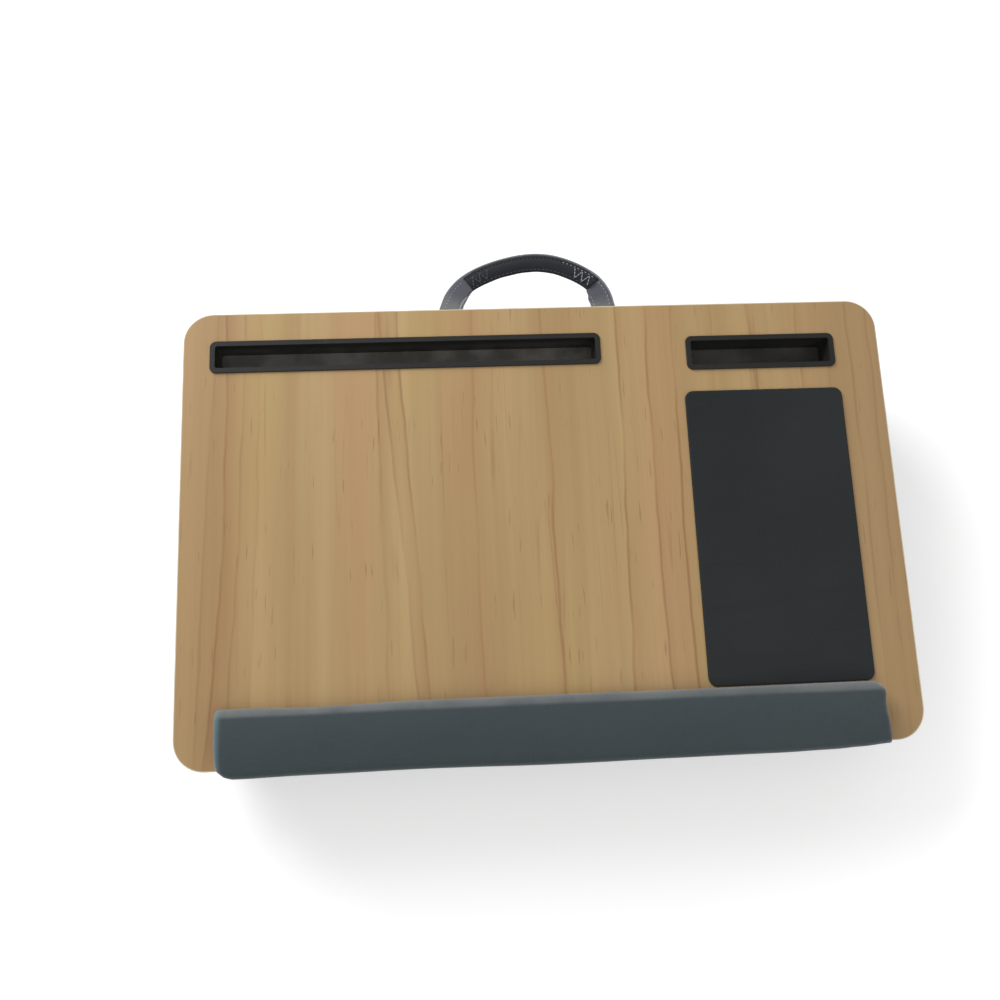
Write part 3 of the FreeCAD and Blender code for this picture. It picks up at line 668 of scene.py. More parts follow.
def lay_bolster(name):
    """A quad mesh laid on the CAD bolster's skin, with rings that follow the leaning end seams."""
    bolster = BOLSTERS[name]
    skin = cad_skin(name + "_cover")
    angles = [2 * math.pi * i / AROUND for i in range(AROUND)]
    rings = [[skin_point(skin, *station_ray(bolster, side, inward, angle))[0] for angle in angles]
             for side, inward in bolster_stations(bolster)]
    vertices = [p for ring in rings for p in ring]
    faces = tube_faces(len(rings), AROUND)
    for side, ring_index, end in ((-1, 0, "_end_left"), (1, len(rings) - 1, "_end_right")):
        dome_skin = cad_skin(name + end)
        ring = rings[ring_index]
        middle = sum(ring, Vector()) / AROUND

        def on_dome(spot):
            hit, _, _, _ = dome_skin.ray_cast(spot + Vector((side * DOME_FAR, 0, 0)), Vector((-side, 0, 0)))
            return hit if hit else spot

        layers = [[on_dome(middle.lerp(p, share)) for p in ring] for share in DOME_SHARES]
        close_end(vertices, faces, ring_index * AROUND, layers, on_dome(middle))
    piece = new_piece(name, vertices, faces)
    face_outwards(piece)
    return piece, len(rings)


def stuff_bolster(piece, ring_count, bolster, cap):
    """Swells the cover by pressure, held at the end seams, the seat and the floor."""
    piece.data.transform(STANDING)
    start = [v.co.copy() for v in piece.data.vertices]
    held = piece.vertex_groups.new(name="held")
    full = piece.vertex_groups.new(name="full")
    seam = set(range(AROUND)) | set(range((ring_count - 1) * AROUND, ring_count * AROUND))
    for vertex in piece.data.vertices:
        lying = LYING @ vertex.co
        fixed = vertex.index in seam or lying.z > SEAT - HELD_DEPTH or vertex.co.z < HELD_DEPTH * MM
        held.add([vertex.index], 1.0 if fixed else 0.0, "REPLACE")
        end_distance = bolster["half"] - abs(lying.x)
        full.add([vertex.index], clamped(end_distance / SWELL_RUN), "REPLACE")
    cloth = piece.modifiers.new("stuffing", "CLOTH")
    for setting, value in STUFFING.items():
        setattr(cloth.settings, setting, value)
    cloth.settings.effector_weights.gravity = 0.0
    cloth.collision_settings.use_collision = False
    cloth.collision_settings.use_self_collision = False
    scene = bpy.context.scene
    for step in range(1, SWELL_FRAMES + 1):
        scene.frame_set(step)
    depsgraph = bpy.context.evaluated_depsgraph_get()
    swollen = piece.evaluated_get(depsgraph).to_mesh()
    moved = [v.co.copy() for v in swollen.vertices]
    piece.evaluated_get(depsgraph).to_mesh_clear()
    piece.modifiers.remove(cloth)
    scene.frame_set(1)
    steps = []
    for old, new in zip(start, moved):
        step = new - old
        steps.append(step.normalized() * min(step.length, cap * MM))
    for vertex, old, step in zip(piece.data.vertices, start, steps):
        ring = vertex.index // AROUND
        if CALM_RINGS < ring < ring_count - CALM_RINGS - 1:
            near = [steps[vertex.index + AROUND * k] for k in range(-CALM_RINGS, CALM_RINGS + 1)]
            step = step.lerp(sum(near, Vector()) / len(near), CALM_SHARE)
        vertex.co = old + step
    piece.vertex_groups.clear()
    piece.data.transform(LYING)


def gather_bolster(piece, bolster, puckers, seed):
    """Draws puckers in from the end seams, pinches the seams and keeps clear of seat and floor."""
    half = bolster["half"]
    for vertex in piece.data.vertices:
        p = vertex.co
        side = 1 if p.x > 0 else -1
        drop = SEAT - p.z
        inward = half + drop * LEAN - abs(p.x)
        centre = Vector((p.x, bolster["y"], SEAT - AXIS_SHARE * bolster["height"]))
        out = (p - centre).normalized()
        angle = math.atan2(out.y, out.z)
        reach = math.hypot(p.y - centre.y, p.z - centre.z)
        if inward > -1.5 and drop > 3.0:
            move = 0.0
            for place, depth, width, length in puckers[side]:
                turn = (angle - place + math.pi) % (2 * math.pi) - math.pi
                across = turn * reach / width
                fade = math.exp(-max(0.0, inward - 1.0) / length)
                fold = 1.25 * math.exp(-across * across) - 0.45 * math.exp(-(abs(across) - 1.9) ** 2)
                move += depth * fade * fold
            ripple = lumps(angle * 7.0, inward * 0.03, seed + side)
            move += 0.5 * ripple * math.exp(-max(0.0, inward) / 9.0)
            p -= out * move
        pinch = math.exp(-(inward / 1.5) ** 2)
        if drop > 2.0:
            p -= out * (0.7 * pinch)
        wave = lumps(p.x * 0.012, p.y * 0.03, p.z * 0.03 + seed)
        if 4.0 < drop and inward > 20.0:
            p += out * (0.3 * wave)
    keep_clear(piece)


def keep_clear(piece):
    """Holds a cushion under its seat and on the floor."""
    for vertex in piece.data.vertices:
        if vertex.co.z > SEAT:
            vertex.co.z = SEAT
        standing = STANDING @ vertex.co
        if standing.z < FLOOR_GAP:
            standing.z = FLOOR_GAP
            vertex.co = LYING @ standing


# Puckers at each end of a bolster: angle round it, depth, width and length.
REAR_PUCKERS = {
    -1: [(-1.75, 2.6, 2.4, 8.0), (-2.6, 1.8, 2.6, 6.0), (2.3, 2.2, 2.4, 7.0), (1.5, 1.6, 2.2, 5.0),
         (3.05, 1.0, 2.6, 4.5)],
    1: [(-1.6, 2.2, 2.4, 7.0), (-2.45, 1.8, 2.4, 6.0), (2.55, 2.6, 2.4, 8.0), (1.65, 1.8, 2.2, 6.0),
        (-3.1, 1.2, 2.6, 5.0)],
}
FRONT_PUCKERS = {
    -1: [(-1.9, 1.8, 2.0, 6.0), (2.4, 1.5, 2.0, 5.0), (3.1, 1.0, 2.2, 4.0), (1.6, 1.2, 1.8, 4.5)],
    1: [(-2.1, 1.5, 2.0, 5.0), (1.9, 1.8, 2.0, 6.0), (2.9, 1.1, 2.2, 4.0), (-1.5, 1.2, 1.8, 4.5)],
}


def bolster_topstitch(piece, bolster, inward):
    """Seams of stitches near both end rings, on the finished skin."""
    skin = surface(piece.data, [v.co for v in piece.data.vertices])
    seams = []
    for side in (-1, 1):
        line = []
        for i in range(361):
            ray = station_ray(bolster, side, inward, 2 * math.pi * i / 360)
            hit, normal = skin_point(skin, *ray)
            if hit and SEAT - hit.z > 1.0:
                line.append((hit + normal * 0.1, normal))
            elif line:
                seams.append(stitches_along(line))
                line = []
        if line:
            seams.append(stitches_along(line))
    return seams


SEAM_INSET = 3.0


def make_bolster(name, puckers, cap, seed):
    """One stuffed bolster and its topstitching; cap is how far its cloth may swell, in millimetres."""
    bolster = BOLSTERS[name]
    piece, ring_count = lay_bolster(name)
    reach = 0.5 * bolster["width"]
    middle = Vector((0, bolster["y"], SEAT - AXIS_SHARE * bolster["height"]))

    def flat_place(p):
        if abs(p.x) > bolster["half"] + (SEAT - p.z) * LEAN + 0.2:
            return p.y, p.z
        return p.x, math.atan2(p.y - middle.y, p.z - middle.z) * reach

    stuff_bolster(piece, ring_count, bolster, cap)
    gather_bolster(piece, bolster, puckers, seed)
    round_over(piece)
    keep_clear(piece)
    set_cloth_map(piece, flat_place)
    seams = bolster_topstitch(piece, bolster, SEAM_INSET)
    finish_piece(piece, "base",
                 replaced=[name + part for part in ("_cover", "_end_left", "_end_right", "_filling")])
    sew(name + "_stitching", seams, "thread", "desk")


make_bolster("rear_bolster", REAR_PUCKERS, 5.0, 3.0)
make_bolster("front_bolster", FRONT_PUCKERS, 3.5, 8.0)


# Wrist rest

REST_HALF = 245.5
REST_BACK = -128.5
REST_FRONT = -177.0
REST_BASE = 10.4
REST_HEIGHT = 15.0
REST_END_ROUND = 5.0
REST_AROUND, REST_STATIONS = 72, 110
# The middle that its section is measured from, as a share of its height.
REST_MIDDLE = 0.35
# Its end faces swell a little: shares of the way out from their middles, and how far they stand out there.
REST_END_LAYERS = ((0.93, 0.25), (0.6, 0.5), (0.3, 0.6))
# The rest's ends are drawn to their plan over this length, from this place on.
REST_DRAWN_FROM, REST_DRAWN_OVER = 205.0, 40.0
# The rest's plan. Its back and front edges give a place along y for places along x, its ends the other way.
REST_BACK_EDGE = ((-245.0, -129.2), (-230.0, -129.0), (-180.0, -130.1), (-100.0, -128.4), (0.0, -128.5),
                  (80.0, -128.9), (245.0, -128.7))
REST_FRONT_EDGE = ((-245.0, -177.8), (-230.0, -177.8), (-180.0, -177.2), (-100.0, -176.5), (0.0, -177.7),
                   (80.0, -177.3), (160.0, -177.1), (200.0, -176.4), (220.0, -175.4), (245.0, -173.8))
REST_LEFT_END = ((-128.5, -241.2), (-131.0, -243.4), (-140.0, -243.8), (-155.0, -243.6), (-165.0, -243.1),
                 (-171.0, -242.0), (-175.0, -237.5), (-178.0, -231.5))
REST_RIGHT_END = ((-128.5, 236.5), (-131.0, 239.2), (-134.0, 243.0), (-138.0, 242.8), (-144.0, 241.5),
                  (-150.0, 241.7), (-156.0, 242.6), (-162.0, 243.0), (-168.0, 243.6), (-178.0, 244.2))


def rest_section():
    """The rest's section halfway along, taken from the CAD skin: places along y and z."""
    skin = cad_skin("wrist_rest_cover")
    axis = Vector((0, (REST_FRONT + REST_BACK) / 2, REST_BASE + REST_MIDDLE * REST_HEIGHT))
    section = []
    for i in range(REST_AROUND):
        turn = 2 * math.pi * i / REST_AROUND
        hit, _ = skin_point(skin, axis, Vector((0, 3.0 * math.sin(turn), math.cos(turn))).normalized(), 60)
        section.append((hit.y, hit.z))
    return section


def rest_point(x, y, z):
    """A point of the rest, from its place on a straight one: rounded at the ends and drawn to its plan."""
    end = max(0.0, REST_HALF - abs(x))
    fall = 1 - math.sqrt(max(0.0, 1 - (1 - min(1.0, end / REST_END_ROUND)) ** 2))
    z = REST_BASE + (z - REST_BASE) * (1 - fall * REST_END_ROUND / REST_HEIGHT)
    back, front = steady_curve(REST_BACK_EDGE, x), steady_curve(REST_FRONT_EDGE, x)
    y = front + (y - REST_FRONT) * (back - front) / (REST_BACK - REST_FRONT)
    drawn = eased((abs(x) - REST_DRAWN_FROM) / REST_DRAWN_OVER)
    if x > 0:
        return Vector((x - (REST_HALF - steady_curve(REST_RIGHT_END, y)) * drawn, y, z))
    return Vector((x + (REST_HALF + steady_curve(REST_LEFT_END, y)) * drawn, y, z))


def lay_wrist_rest():
    """A quad mesh of the rest: its middle section all along, and flat sewn ends."""
    section = rest_section()
    steps = [0.0, 0.5, 1.3, 2.6, 4.4, 6.8, 10.0, 14.0, 19.0, 25.0]
    reach = REST_HALF - steps[-1]
    places = [-REST_HALF + s for s in steps]
    places += [-reach + 2 * reach * i / REST_STATIONS for i in range(1, REST_STATIONS)]
    places += [REST_HALF - s for s in reversed(steps)]
    vertices = [rest_point(x, y, z) for x in places for y, z in section]
    faces = tube_faces(len(places), REST_AROUND)
    for side, edge in ((-1, 0), (1, len(vertices) - REST_AROUND)):
        ring = vertices[edge:edge + REST_AROUND]
        centre = sum(ring, Vector()) / REST_AROUND
        layers = [[centre.lerp(p, share) + Vector((side * out, 0, 0)) for p in ring]
                  for share, out in REST_END_LAYERS]
        tip = centre + Vector((side * REST_END_LAYERS[-1][1], 0, 0))
        close_end(vertices, faces, edge, layers, tip)
    piece = new_piece("wrist_rest", vertices, faces)
    face_outwards(piece)
    return piece


def make_wrist_rest():
    """Foam strip in a sewn cover: softly uneven, a little puckered at its ends."""
    piece = lay_wrist_rest()
    for vertex in piece.data.vertices:
        p = vertex.co
        up = clamped((p.z - REST_BASE) / REST_HEIGHT)
        end = REST_HALF - abs(p.x)
        dent = lumps(p.x * 0.014, p.y * 0.04, 2.0)
        dent += 0.3 * lumps(p.x * 0.05, p.y * 0.07, 5.0)
        p.z += 0.5 * up * dent * min(1.0, max(0.0, end) / 10)
        p.y += 0.3 * up * lumps(p.x * 0.02, 9.0, p.z * 0.02)
        puckered = lumps(p.y * 0.3, p.z * 0.3, 4.0 + (p.x > 0))
        p.z -= 0.6 * up * max(0.0, puckered) * math.exp(-max(0.0, end) / 6.0)
    round_over(piece)

    def flat_place(p):
        if abs(p.x) > REST_HALF:
            return p.y, p.z
        return p.x, p.y - p.z

    set_cloth_map(piece, flat_place)
    finish_piece(piece, "rest", replaced=["wrist_rest_cover", "wrist_rest_foam"])


make_wrist_rest()


# Base: sloping band and bottom panel

def outline_point(turn, half_x, half_y, radius):
    """A point of a rounded rectangle at a share of the way round, and its outward direction."""
    straight_x, straight_y = 2 * (half_x - radius), 2 * (half_y - radius)
    arc = math.pi / 2 * radius
    legs = [straight_x, arc, straight_y, arc, straight_x, arc, straight_y, arc]
    go = turn * sum(legs)
    for leg, length in enumerate(legs):
        if go <= length or leg == 7:
            break
        go -= length
    quarter = leg // 2
    if quarter % 2:
        half_x, half_y = half_y, half_x
    if leg % 2:
        angle = math.pi / 2 - go / radius
        out = Vector((math.cos(angle), math.sin(angle)))
        local = Vector((half_x - radius, half_y - radius)) + out * radius
    else:
        out = Vector((0, 1))
        local = Vector((radius - half_x + go, half_y))
    turned = Matrix.Rotation(-quarter * math.pi / 2, 2)
    return turned @ local, turned @ out


# The band starts this far in from the board's edge and slopes in by this much more; its corners are rounder
# at the board than at the panel.
BAND_INSET, BAND_SLOPE, BAND_ROUNDING = 2.0, 13.0, 7.0


def band_point(turn, share):
    """A point on the sloping band, and its outward direction: share 0 is at the board, 1 at the panel."""
    edge = BAND_INSET + BAND_SLOPE * share
    radius = PANEL_RADIUS + BAND_ROUNDING * (1 - share)
    spot, out = outline_point(turn, BOARD_HALF_X - edge, BOARD_HALF_Y - edge, radius)
    slope = Vector((out.x * BASE_DEPTH, out.y * BASE_DEPTH, -BAND_SLOPE)).normalized()
    point = Vector((spot.x, spot.y, -BASE_DEPTH * share))
    return point, slope


def corner_turns():
    """Shares of the way round at which the four corners' middles lie."""
    turns = []
    tries = 2000
    for i in range(tries):
        _, out = outline_point(i / tries, PANEL_HALF_X, PANEL_HALF_Y, PANEL_RADIUS)
        turns.append((abs(abs(out.x * out.y) - 0.5), i / tries))
    picked = []
    for _, turn in sorted(turns):
        if all(abs(turn - other) > 0.05 for other in picked):
            picked.append(turn)
        if len(picked) == 4:
            break
    return sorted(picked)


CORNERS = corner_turns()
# The band's rough length, the places round it, the rows of its tucked hem and the width of a row of cloth.
BAND_LENGTH = 2 * (527 + 302) + 40
BAND_AROUND, HEM_INSETS, BAND_ROW = 560, (10.0, 5.0, 1.4), 2.3


def band_swell(turn, share, point):
    """How far the band stands out: foam behind it, slack ripples along it and a tuck at each corner."""
    swell = 1.3 * math.sin(math.pi * min(1.0, share * 0.98 + 0.02))
    long_wave = lumps(point.x * 0.012, point.y * 0.012, 3.0)
    short_wave = lumps(point.x * 0.05, point.y * 0.05, share * 2.0)
    swell += (0.9 * long_wave + 0.45 * short_wave) * math.sin(math.pi * share)
    for corner in CORNERS:
        gap = (turn - corner + 0.5) % 1.0 - 0.5
        across = gap * BAND_LENGTH
        fade = clamped((share - 0.15) / 0.4)
        swell -= fade * 2.6 * math.exp(-(across / 1.9) ** 2)
        swell += fade * 0.9 * math.exp(-((abs(across) - 4.6) / 2.2) ** 2)
        swell += 0.7 * fade * math.sin(across * 0.55) * math.exp(-(across / 16) ** 2) * share
    return swell


def make_band():
    """The sloping fabric band round the base, with its hem tucked in under the board."""
    shares = [0.03, 0.08, 0.16, 0.28, 0.4, 0.52, 0.64, 0.76, 0.86, 0.94, 0.985]
    vertices = []
    for i in range(BAND_AROUND):
        turn = i / BAND_AROUND
        point, slope = band_point(turn, 0.0)
        flat = Vector((slope.x, slope.y, 0)).normalized()
        for inset in HEM_INSETS:
            vertices.append(point - flat * inset + Vector((0, 0, -0.25)))
        for share in shares:
            point, slope = band_point(turn, share)
            vertices.append(point + slope * (band_swell(turn, share, point) - 0.2))
        point, slope = band_point(turn, 1.0)
        flat = Vector((slope.x, slope.y, 0)).normalized()
        vertices.append(point - flat * 0.2 + Vector((0, 0, -0.2)))
        vertices.append(point - flat * 3.0 + Vector((0, 0, 0.3)))
    across = len(HEM_INSETS) + len(shares) + 2
    faces = []
    for i in range(BAND_AROUND):
        j = (i + 1) % BAND_AROUND
        for k in range(across - 1):
            faces.append((i * across + k, i * across + k + 1, j * across + k + 1, j * across + k))
    piece = new_piece("base_band", vertices, faces)
    layer = piece.data.uv_layers.new(name="cloth")
    for polygon in piece.data.polygons:
        for loop in polygon.loop_indices:
            i, k = divmod(piece.data.loops[loop].vertex_index, across)
            if polygon.index >= (BAND_AROUND - 1) * (across - 1) and i == 0:
                i = BAND_AROUND
            layer.data[loop].uv = (i * BAND_LENGTH / BAND_AROUND, k * BAND_ROW)
    face_outwards(piece)
    # The band is 37.5 mm wide with its hems.
    thicken(piece, 0.9)
    finish_piece(piece, "band",
                 replaced=["gusset_front", "gusset_back", "gusset_left", "gusset_right"])


def rounded_place(x, y):
    """Moves a point of a square-cornered panel to where it lies on one with round corners."""
    straight_x, straight_y = PANEL_HALF_X - PANEL_RADIUS, PANEL_HALF_Y - PANEL_RADIUS
    a, b = abs(x) - straight_x, abs(y) - straight_y
    if a > 0 and b > 0:
        both = 2 * PANEL_RADIUS * PANEL_RADIUS
        a, b = a * math.sqrt(1 - b * b / both), b * math.sqrt(1 - a * a / both)
        x = math.copysign(straight_x + a, x)
        y = math.copysign(straight_y + b, y)
    return x, y


# Where the panel is sewn on, and where it hangs free between the bolsters.
PANEL_SEAT = -20.75
OPEN_BACK, OPEN_FRONT, OPEN_RUN = 62.0, -91.0, 8.0


def make_panel():
    """The bottom panel, stretched over the foam: pressed in at its seam and drawn up beside the bolsters."""
    nothing_selected()
    bpy.ops.mesh.primitive_grid_add(x_subdivisions=130, y_subdivisions=80, size=2)
    piece = name_primitive("base_panel_cloth")
    for vertex in piece.data.vertices:
        x, y, _ = vertex.co
        x, y = rounded_place(x * PANEL_HALF_X, y * PANEL_HALF_Y)
        edge = min(PANEL_HALF_X - abs(x), PANEL_HALF_Y - abs(y))
        dip = 1.2 * math.exp(-max(0.0, edge) / 3.0)
        open_share = clamped((OPEN_BACK - y) / OPEN_RUN) * clamped((y - OPEN_FRONT) / OPEN_RUN)
        belly = 1.1 * min(1.0, edge / 40.0) + 0.6 * lumps(x * 0.01, y * 0.014, 1.0)
        belly += 0.35 * lumps(x * 0.035, y * 0.02, 6.0)
        vertex.co = (x, y, PANEL_SEAT + dip * 0.6 - belly * open_share)
    set_cloth_map(piece, lambda p: (p.x, p.y))
    take(piece)
    bpy.ops.object.mode_set(mode="EDIT")
    bpy.ops.mesh.select_all(action="SELECT")
    bpy.ops.mesh.flip_normals()
    bpy.ops.object.mode_set(mode="OBJECT")
    thicken(piece, 0.7)
    finish_piece(piece, "base", replaced=["base_panel"])


make_band()
make_panel()


PIPING_X, PIPING_Z, PIPING_RADIUS = 261.6, -21.2, 1.7


def make_piping(side, name):
    """Fabric-covered cord along the panel's side seam, its ends turned in beside the bolsters."""
    x = side * PIPING_X
    route = [(x - side * 5.5, -101.0, PIPING_Z + 1.0), (x - side * 1.6, -97.5, PIPING_Z + 0.2),
             (x, -92.0, PIPING_Z)]
    route += [(x + side * 0.35 * math.sin(y * 0.11), float(y), PIPING_Z + 0.15 * math.sin(y * 0.07))
              for y in range(-80, 60, 10)]
    route += [(x, 62.5, PIPING_Z), (x - side * 1.6, 69.0, PIPING_Z + 0.2),
              (x - side * 5.5, 72.5, PIPING_Z + 1.0)]
    line = bpy.data.curves.new(name, "CURVE")
    line.dimensions = "3D"
    line.bevel_depth = PIPING_RADIUS
    line.bevel_resolution = 3
    line.resolution_u = 6
    line.use_fill_caps = True
    spline = line.splines.new("NURBS")
    spline.points.add(len(route) - 1)
    for point, spot in zip(spline.points, route):
        point.co = (*spot, 1.0)
    spline.order_u = 4
    spline.use_endpoint_u = True
    take(show(name, line))
    bpy.ops.object.convert(target="MESH")
    piece = name_primitive(name)

    def bias_place(p):
        """The cord's cloth is cut on the bias, so its threads run slanting round it."""
        round_it = math.atan2(p.x - x, p.z - PIPING_Z) * PIPING_RADIUS
        return p.y + round_it, round_it - p.y

    set_cloth_map(piece, bias_place)
    finish_piece(piece, "cord", replaced=[name.replace("piping", "side_welt")])


make_piping(-1, "piping_left")
make_piping(1, "piping_right")


def make_corner_tacks():
    """A small knot of white thread at the mouth of each corner tuck."""
    seams = []
    for corner in CORNERS:
        point, slope = band_point(corner, 0.62)
        along = Vector((-slope.y, slope.x, 0)).normalized()
        seam = []
        for offset, rise in ((-0.5, 0.0), (0.4, 0.9), (1.1, -0.6)):
            centre = point + slope * 0.3 + Vector((0, 0, rise))
            seam.append(((centre - along * 1.5, slope), (centre + along * (1.2 + offset), slope)))
        seams.append(seam)
    sew("corner_tacks", seams, "tack", "desk", 0.42)


make_corner_tacks()


# Mouse pad

PAD_MIDDLE, PAD_SIZE = (177.7, -14.5, 10.9), (125.6, 227.9, 1.0)
PAD_CORNER, PAD_EDGE = 6.5, 0.45


def make_mouse_pad():
    """The pad's skin: a thin sheet with round corners and a rolled edge, wrapped over its rubber backing."""
    nothing_selected()
    bpy.ops.mesh.primitive_cube_add(size=1, location=PAD_MIDDLE, scale=PAD_SIZE)
    pad = name_primitive("mouse_pad")
    bpy.ops.object.transform_apply(location=True, rotation=True, scale=True)
    bpy.ops.object.mode_set(mode="EDIT")
    pick(pad, "EDGE", lambda e: abs(e.verts[0].co.z - e.verts[1].co.z) > 0.9 * PAD_SIZE[2])
    bpy.ops.mesh.bevel(offset=PAD_CORNER, segments=10, affect="EDGES")
    top = PAD_MIDDLE[2] + PAD_SIZE[2] / 2
    pick(pad, "EDGE", lambda e: all(v.co.z > top - 0.01 for v in e.verts) and len(e.link_faces) == 2
         and any(abs(f.normal.z) < 0.1 for f in e.link_faces))
    bpy.ops.mesh.bevel(offset=PAD_EDGE, segments=3, affect="EDGES")
    pick(pad, "FACE", lambda f: f.normal.z > 0.9 and f.calc_area() > 10000)
    bpy.ops.mesh.inset(thickness=1.2, depth=0.0)
    bpy.ops.mesh.inset(thickness=1.6, depth=-0.06)
    bpy.ops.object.mode_set(mode="OBJECT")
    finish_piece(pad, "skin", replaced=["mouse_pad_surface"], angle=35)


make_mouse_pad()


# Strap handle

STRAP_LEVEL = -1.2
STRAP_HALF = 9.0
STRAP_THICK = 1.15
# The strap's middle line, from its left tail under the board over the arch to its right tail.
STRAP_KNOTS = ((-74.7, 153.3), (-71.2, 163.6), (-66.9, 175.2), (-62.2, 186.6), (-54.2, 195.9), (-43.9, 202.7),
               (-32.6, 207.6), (-20.8, 211.3), (-8.7, 213.8), (3.6, 214.7), (15.9, 213.3), (27.6, 209.5),
               (38.6, 203.9), (48.5, 196.6), (55.0, 186.2), (57.9, 174.2), (61.6, 164.2), (65.7, 153.3))
# Where the folded grip starts and ends along that line, and where the strap's ends leave the board.
GRIP_START, GRIP_END = 51.0, 160.4
LEFT_ROOT, RIGHT_ROOT = 21.5, 185.5
# How far the flat ends run into the grip, and how many sections each piece has.
INTO_GRIP = 7.0
END_STATIONS, GRIP_STATIONS = 34, 72
# The strap's inner edge from its middle line, along the line.
STRAP_INNER = ((0.0, -9.0), (18.0, -9.0), (27.0, -7.4), (37.0, -8.3), (46.0, -6.6), (56.0, -6.6),
               (157.0, -6.3), (164.0, -8.0), (171.0, -10.3), (179.0, -10.0), (190.0, -9.0), (212.0, -9.0))
UP = Vector((0, 0, 1))


def smooth_line(knots, steps=16):
    """Points of a smooth curve through the knots."""
    spots = [Vector(k) for k in knots]
    spots = [2 * spots[0] - spots[1], *spots, 2 * spots[-1] - spots[-2]]
    line = []
    for a, b, c, d in zip(spots, spots[1:], spots[2:], spots[3:]):
        for i in range(steps):
            t = i / steps
            line.append(0.5 * (2 * b + (c - a) * t + (2 * a - 5 * b + 4 * c - d) * t * t
                               + (3 * b - a - 3 * c + d) * t ** 3))
    return line + [spots[-2]]


STRAP_LINE = smooth_line(STRAP_KNOTS)
STRAP_TRAVEL = [0.0]
for here, following in zip(STRAP_LINE, STRAP_LINE[1:]):
    STRAP_TRAVEL.append(STRAP_TRAVEL[-1] + (following - here).length)


def strap_spot(travel):
    """A point of the strap's middle line, that many millimetres along it."""
    travel = min(STRAP_TRAVEL[-1], max(0.0, travel))
    i = min(len(STRAP_LINE) - 2, bisect_right(STRAP_TRAVEL, travel) - 1)
    share = (travel - STRAP_TRAVEL[i]) / (STRAP_TRAVEL[i + 1] - STRAP_TRAVEL[i])
    return STRAP_LINE[i].lerp(STRAP_LINE[i + 1], share)


def strap_place(travel):
    """A point of the strap's middle line and its outward direction."""
    along = (strap_spot(travel + 1.0) - strap_spot(travel - 1.0)).normalized()
    return strap_spot(travel), Vector((-along.y, along.x))


def travels(first, last, count):
    """Even places from the first to the last."""
    return [first + (last - first) * i / count for i in range(count + 1)]


def strap_point(middle, out, across, rise):
    """A point of a section of the strap: across from its middle line, and up from its level."""
    spot = middle + out * across
    return Vector((spot.x, spot.y, STRAP_LEVEL + rise))


def sweep(name, stations):
    """Joins sections along the strap: each station is a middle, an outward direction and a section."""
    size = len(stations[0][2])
    vertices = [strap_point(middle, out, across, rise)
                for middle, out, section in stations for across, rise in section]
    faces = tube_faces(len(stations), size)
    faces.append(tuple(range(size)))
    faces.append(tuple((len(stations) - 1) * size + i for i in range(size)))
    piece = new_piece(name, vertices, faces)
    face_outwards(piece)
    layer = piece.data.uv_layers.new(name="cloth")
    for polygon in piece.data.polygons:
        for loop in polygon.loop_indices:
            station, place = divmod(piece.data.loops[loop].vertex_index, size)
            layer.data[loop].uv = (station * 1.5, stations[station][2][place][0])
    return piece


def mirrored(top):
    """A section closed by its own mirror image below."""
    return top + [(across, -rise) for across, rise in reversed(top[1:-1])]


def flat_section(inner, outer, thick):
    """A flat strap's section with folded edges, as points round it."""
    top = []
    for share in (0.0, 0.03, 0.09, 0.2, 0.35, 0.5, 0.65, 0.8, 0.91, 0.97, 1.0):
        across = inner + (outer - inner) * share
        edge = min(share, 1 - share)
        fold = math.sqrt(max(0.0, 1 - (1 - min(1.0, edge / 0.08)) ** 2))
        top.append((across, thick * (fold - 0.16 * math.exp(-((edge - 0.14) / 0.04) ** 2))))
    return mirrored(top)


GRIP_THICK, GRIP_INNER, GRIP_OUTER = 2.45, -6.3, 7.5
# The grip's two closing sections at each end: how far on they lie, how much flatter and narrower they are.
GRIP_CLOSING = {-1: (0.35, 0.8, 0.3), -2: (0.1, 0.45, 0.8)}
# The grip's upper face: shares of its width and of its thickness.
GRIP_PROFILE = ((0.0, 0.0), (0.02, 0.42), (0.06, 0.62), (0.12, 0.62), (0.17, 0.7), (0.3, 0.93), (0.45, 1.0),
                (0.6, 0.97), (0.7, 0.82), (0.76, 0.6), (0.8, 0.54), (0.86, 0.62), (0.93, 0.6), (0.98, 0.4),
                (1.0, 0.0))


def grip_section(inner, outer, thick):
    """The folded grip's section: a padded middle, and a stitched groove beside its outer edge."""
    return mirrored([(inner + (outer - inner) * share, thick * rise) for share, rise in GRIP_PROFILE])


def make_strap_ends():
    """The strap's two flat ends, from their tails under the board up into the folded grip."""
    pieces = []
    for name, first, last in (("strap_end_left", 0.0, GRIP_START + INTO_GRIP),
                              ("strap_end_right", STRAP_TRAVEL[-1], GRIP_END - INTO_GRIP)):
        stations = []
        for travel in travels(first, last, END_STATIONS):
            inner = steady_curve(STRAP_INNER, travel)
            if GRIP_START < travel < GRIP_END:
                inner += 0.8
            outer = STRAP_HALF - 0.7 + 0.15 * lumps(travel * 0.14, 3.0, 0)
            stations.append((*strap_place(travel), flat_section(inner, outer, STRAP_THICK)))
        pieces.append(sweep(name, stations))
    return pieces


def cord_along(name, first, last, across, radius, rise=0.0, tip=0.0):
    """A thin roll along the strap, drawn out to nothing over its last few millimetres where tip says so."""
    stations = []
    for travel in travels(first, last, max(8, round(abs(last - first) / 1.7))):
        size = radius * (eased(abs(last - travel) / tip) * 0.85 + 0.15 if tip else 1.0)
        ring = []
        for k in range(10):
            turn = 2 * math.pi * k / 10
            ring.append((across + size * math.cos(turn), rise + 1.2 * size * math.sin(turn)))
        stations.append((*strap_place(travel), ring))
    return sweep(name, stations)


def strap_seam(first, last, across, rise, length, gap):
    """Stitches on the strap's upper face between two places along it."""
    line = [(strap_point(*strap_place(travel), across, rise), UP) for travel in travels(first, last, 60)]
    return stitches_along(line, length, gap)


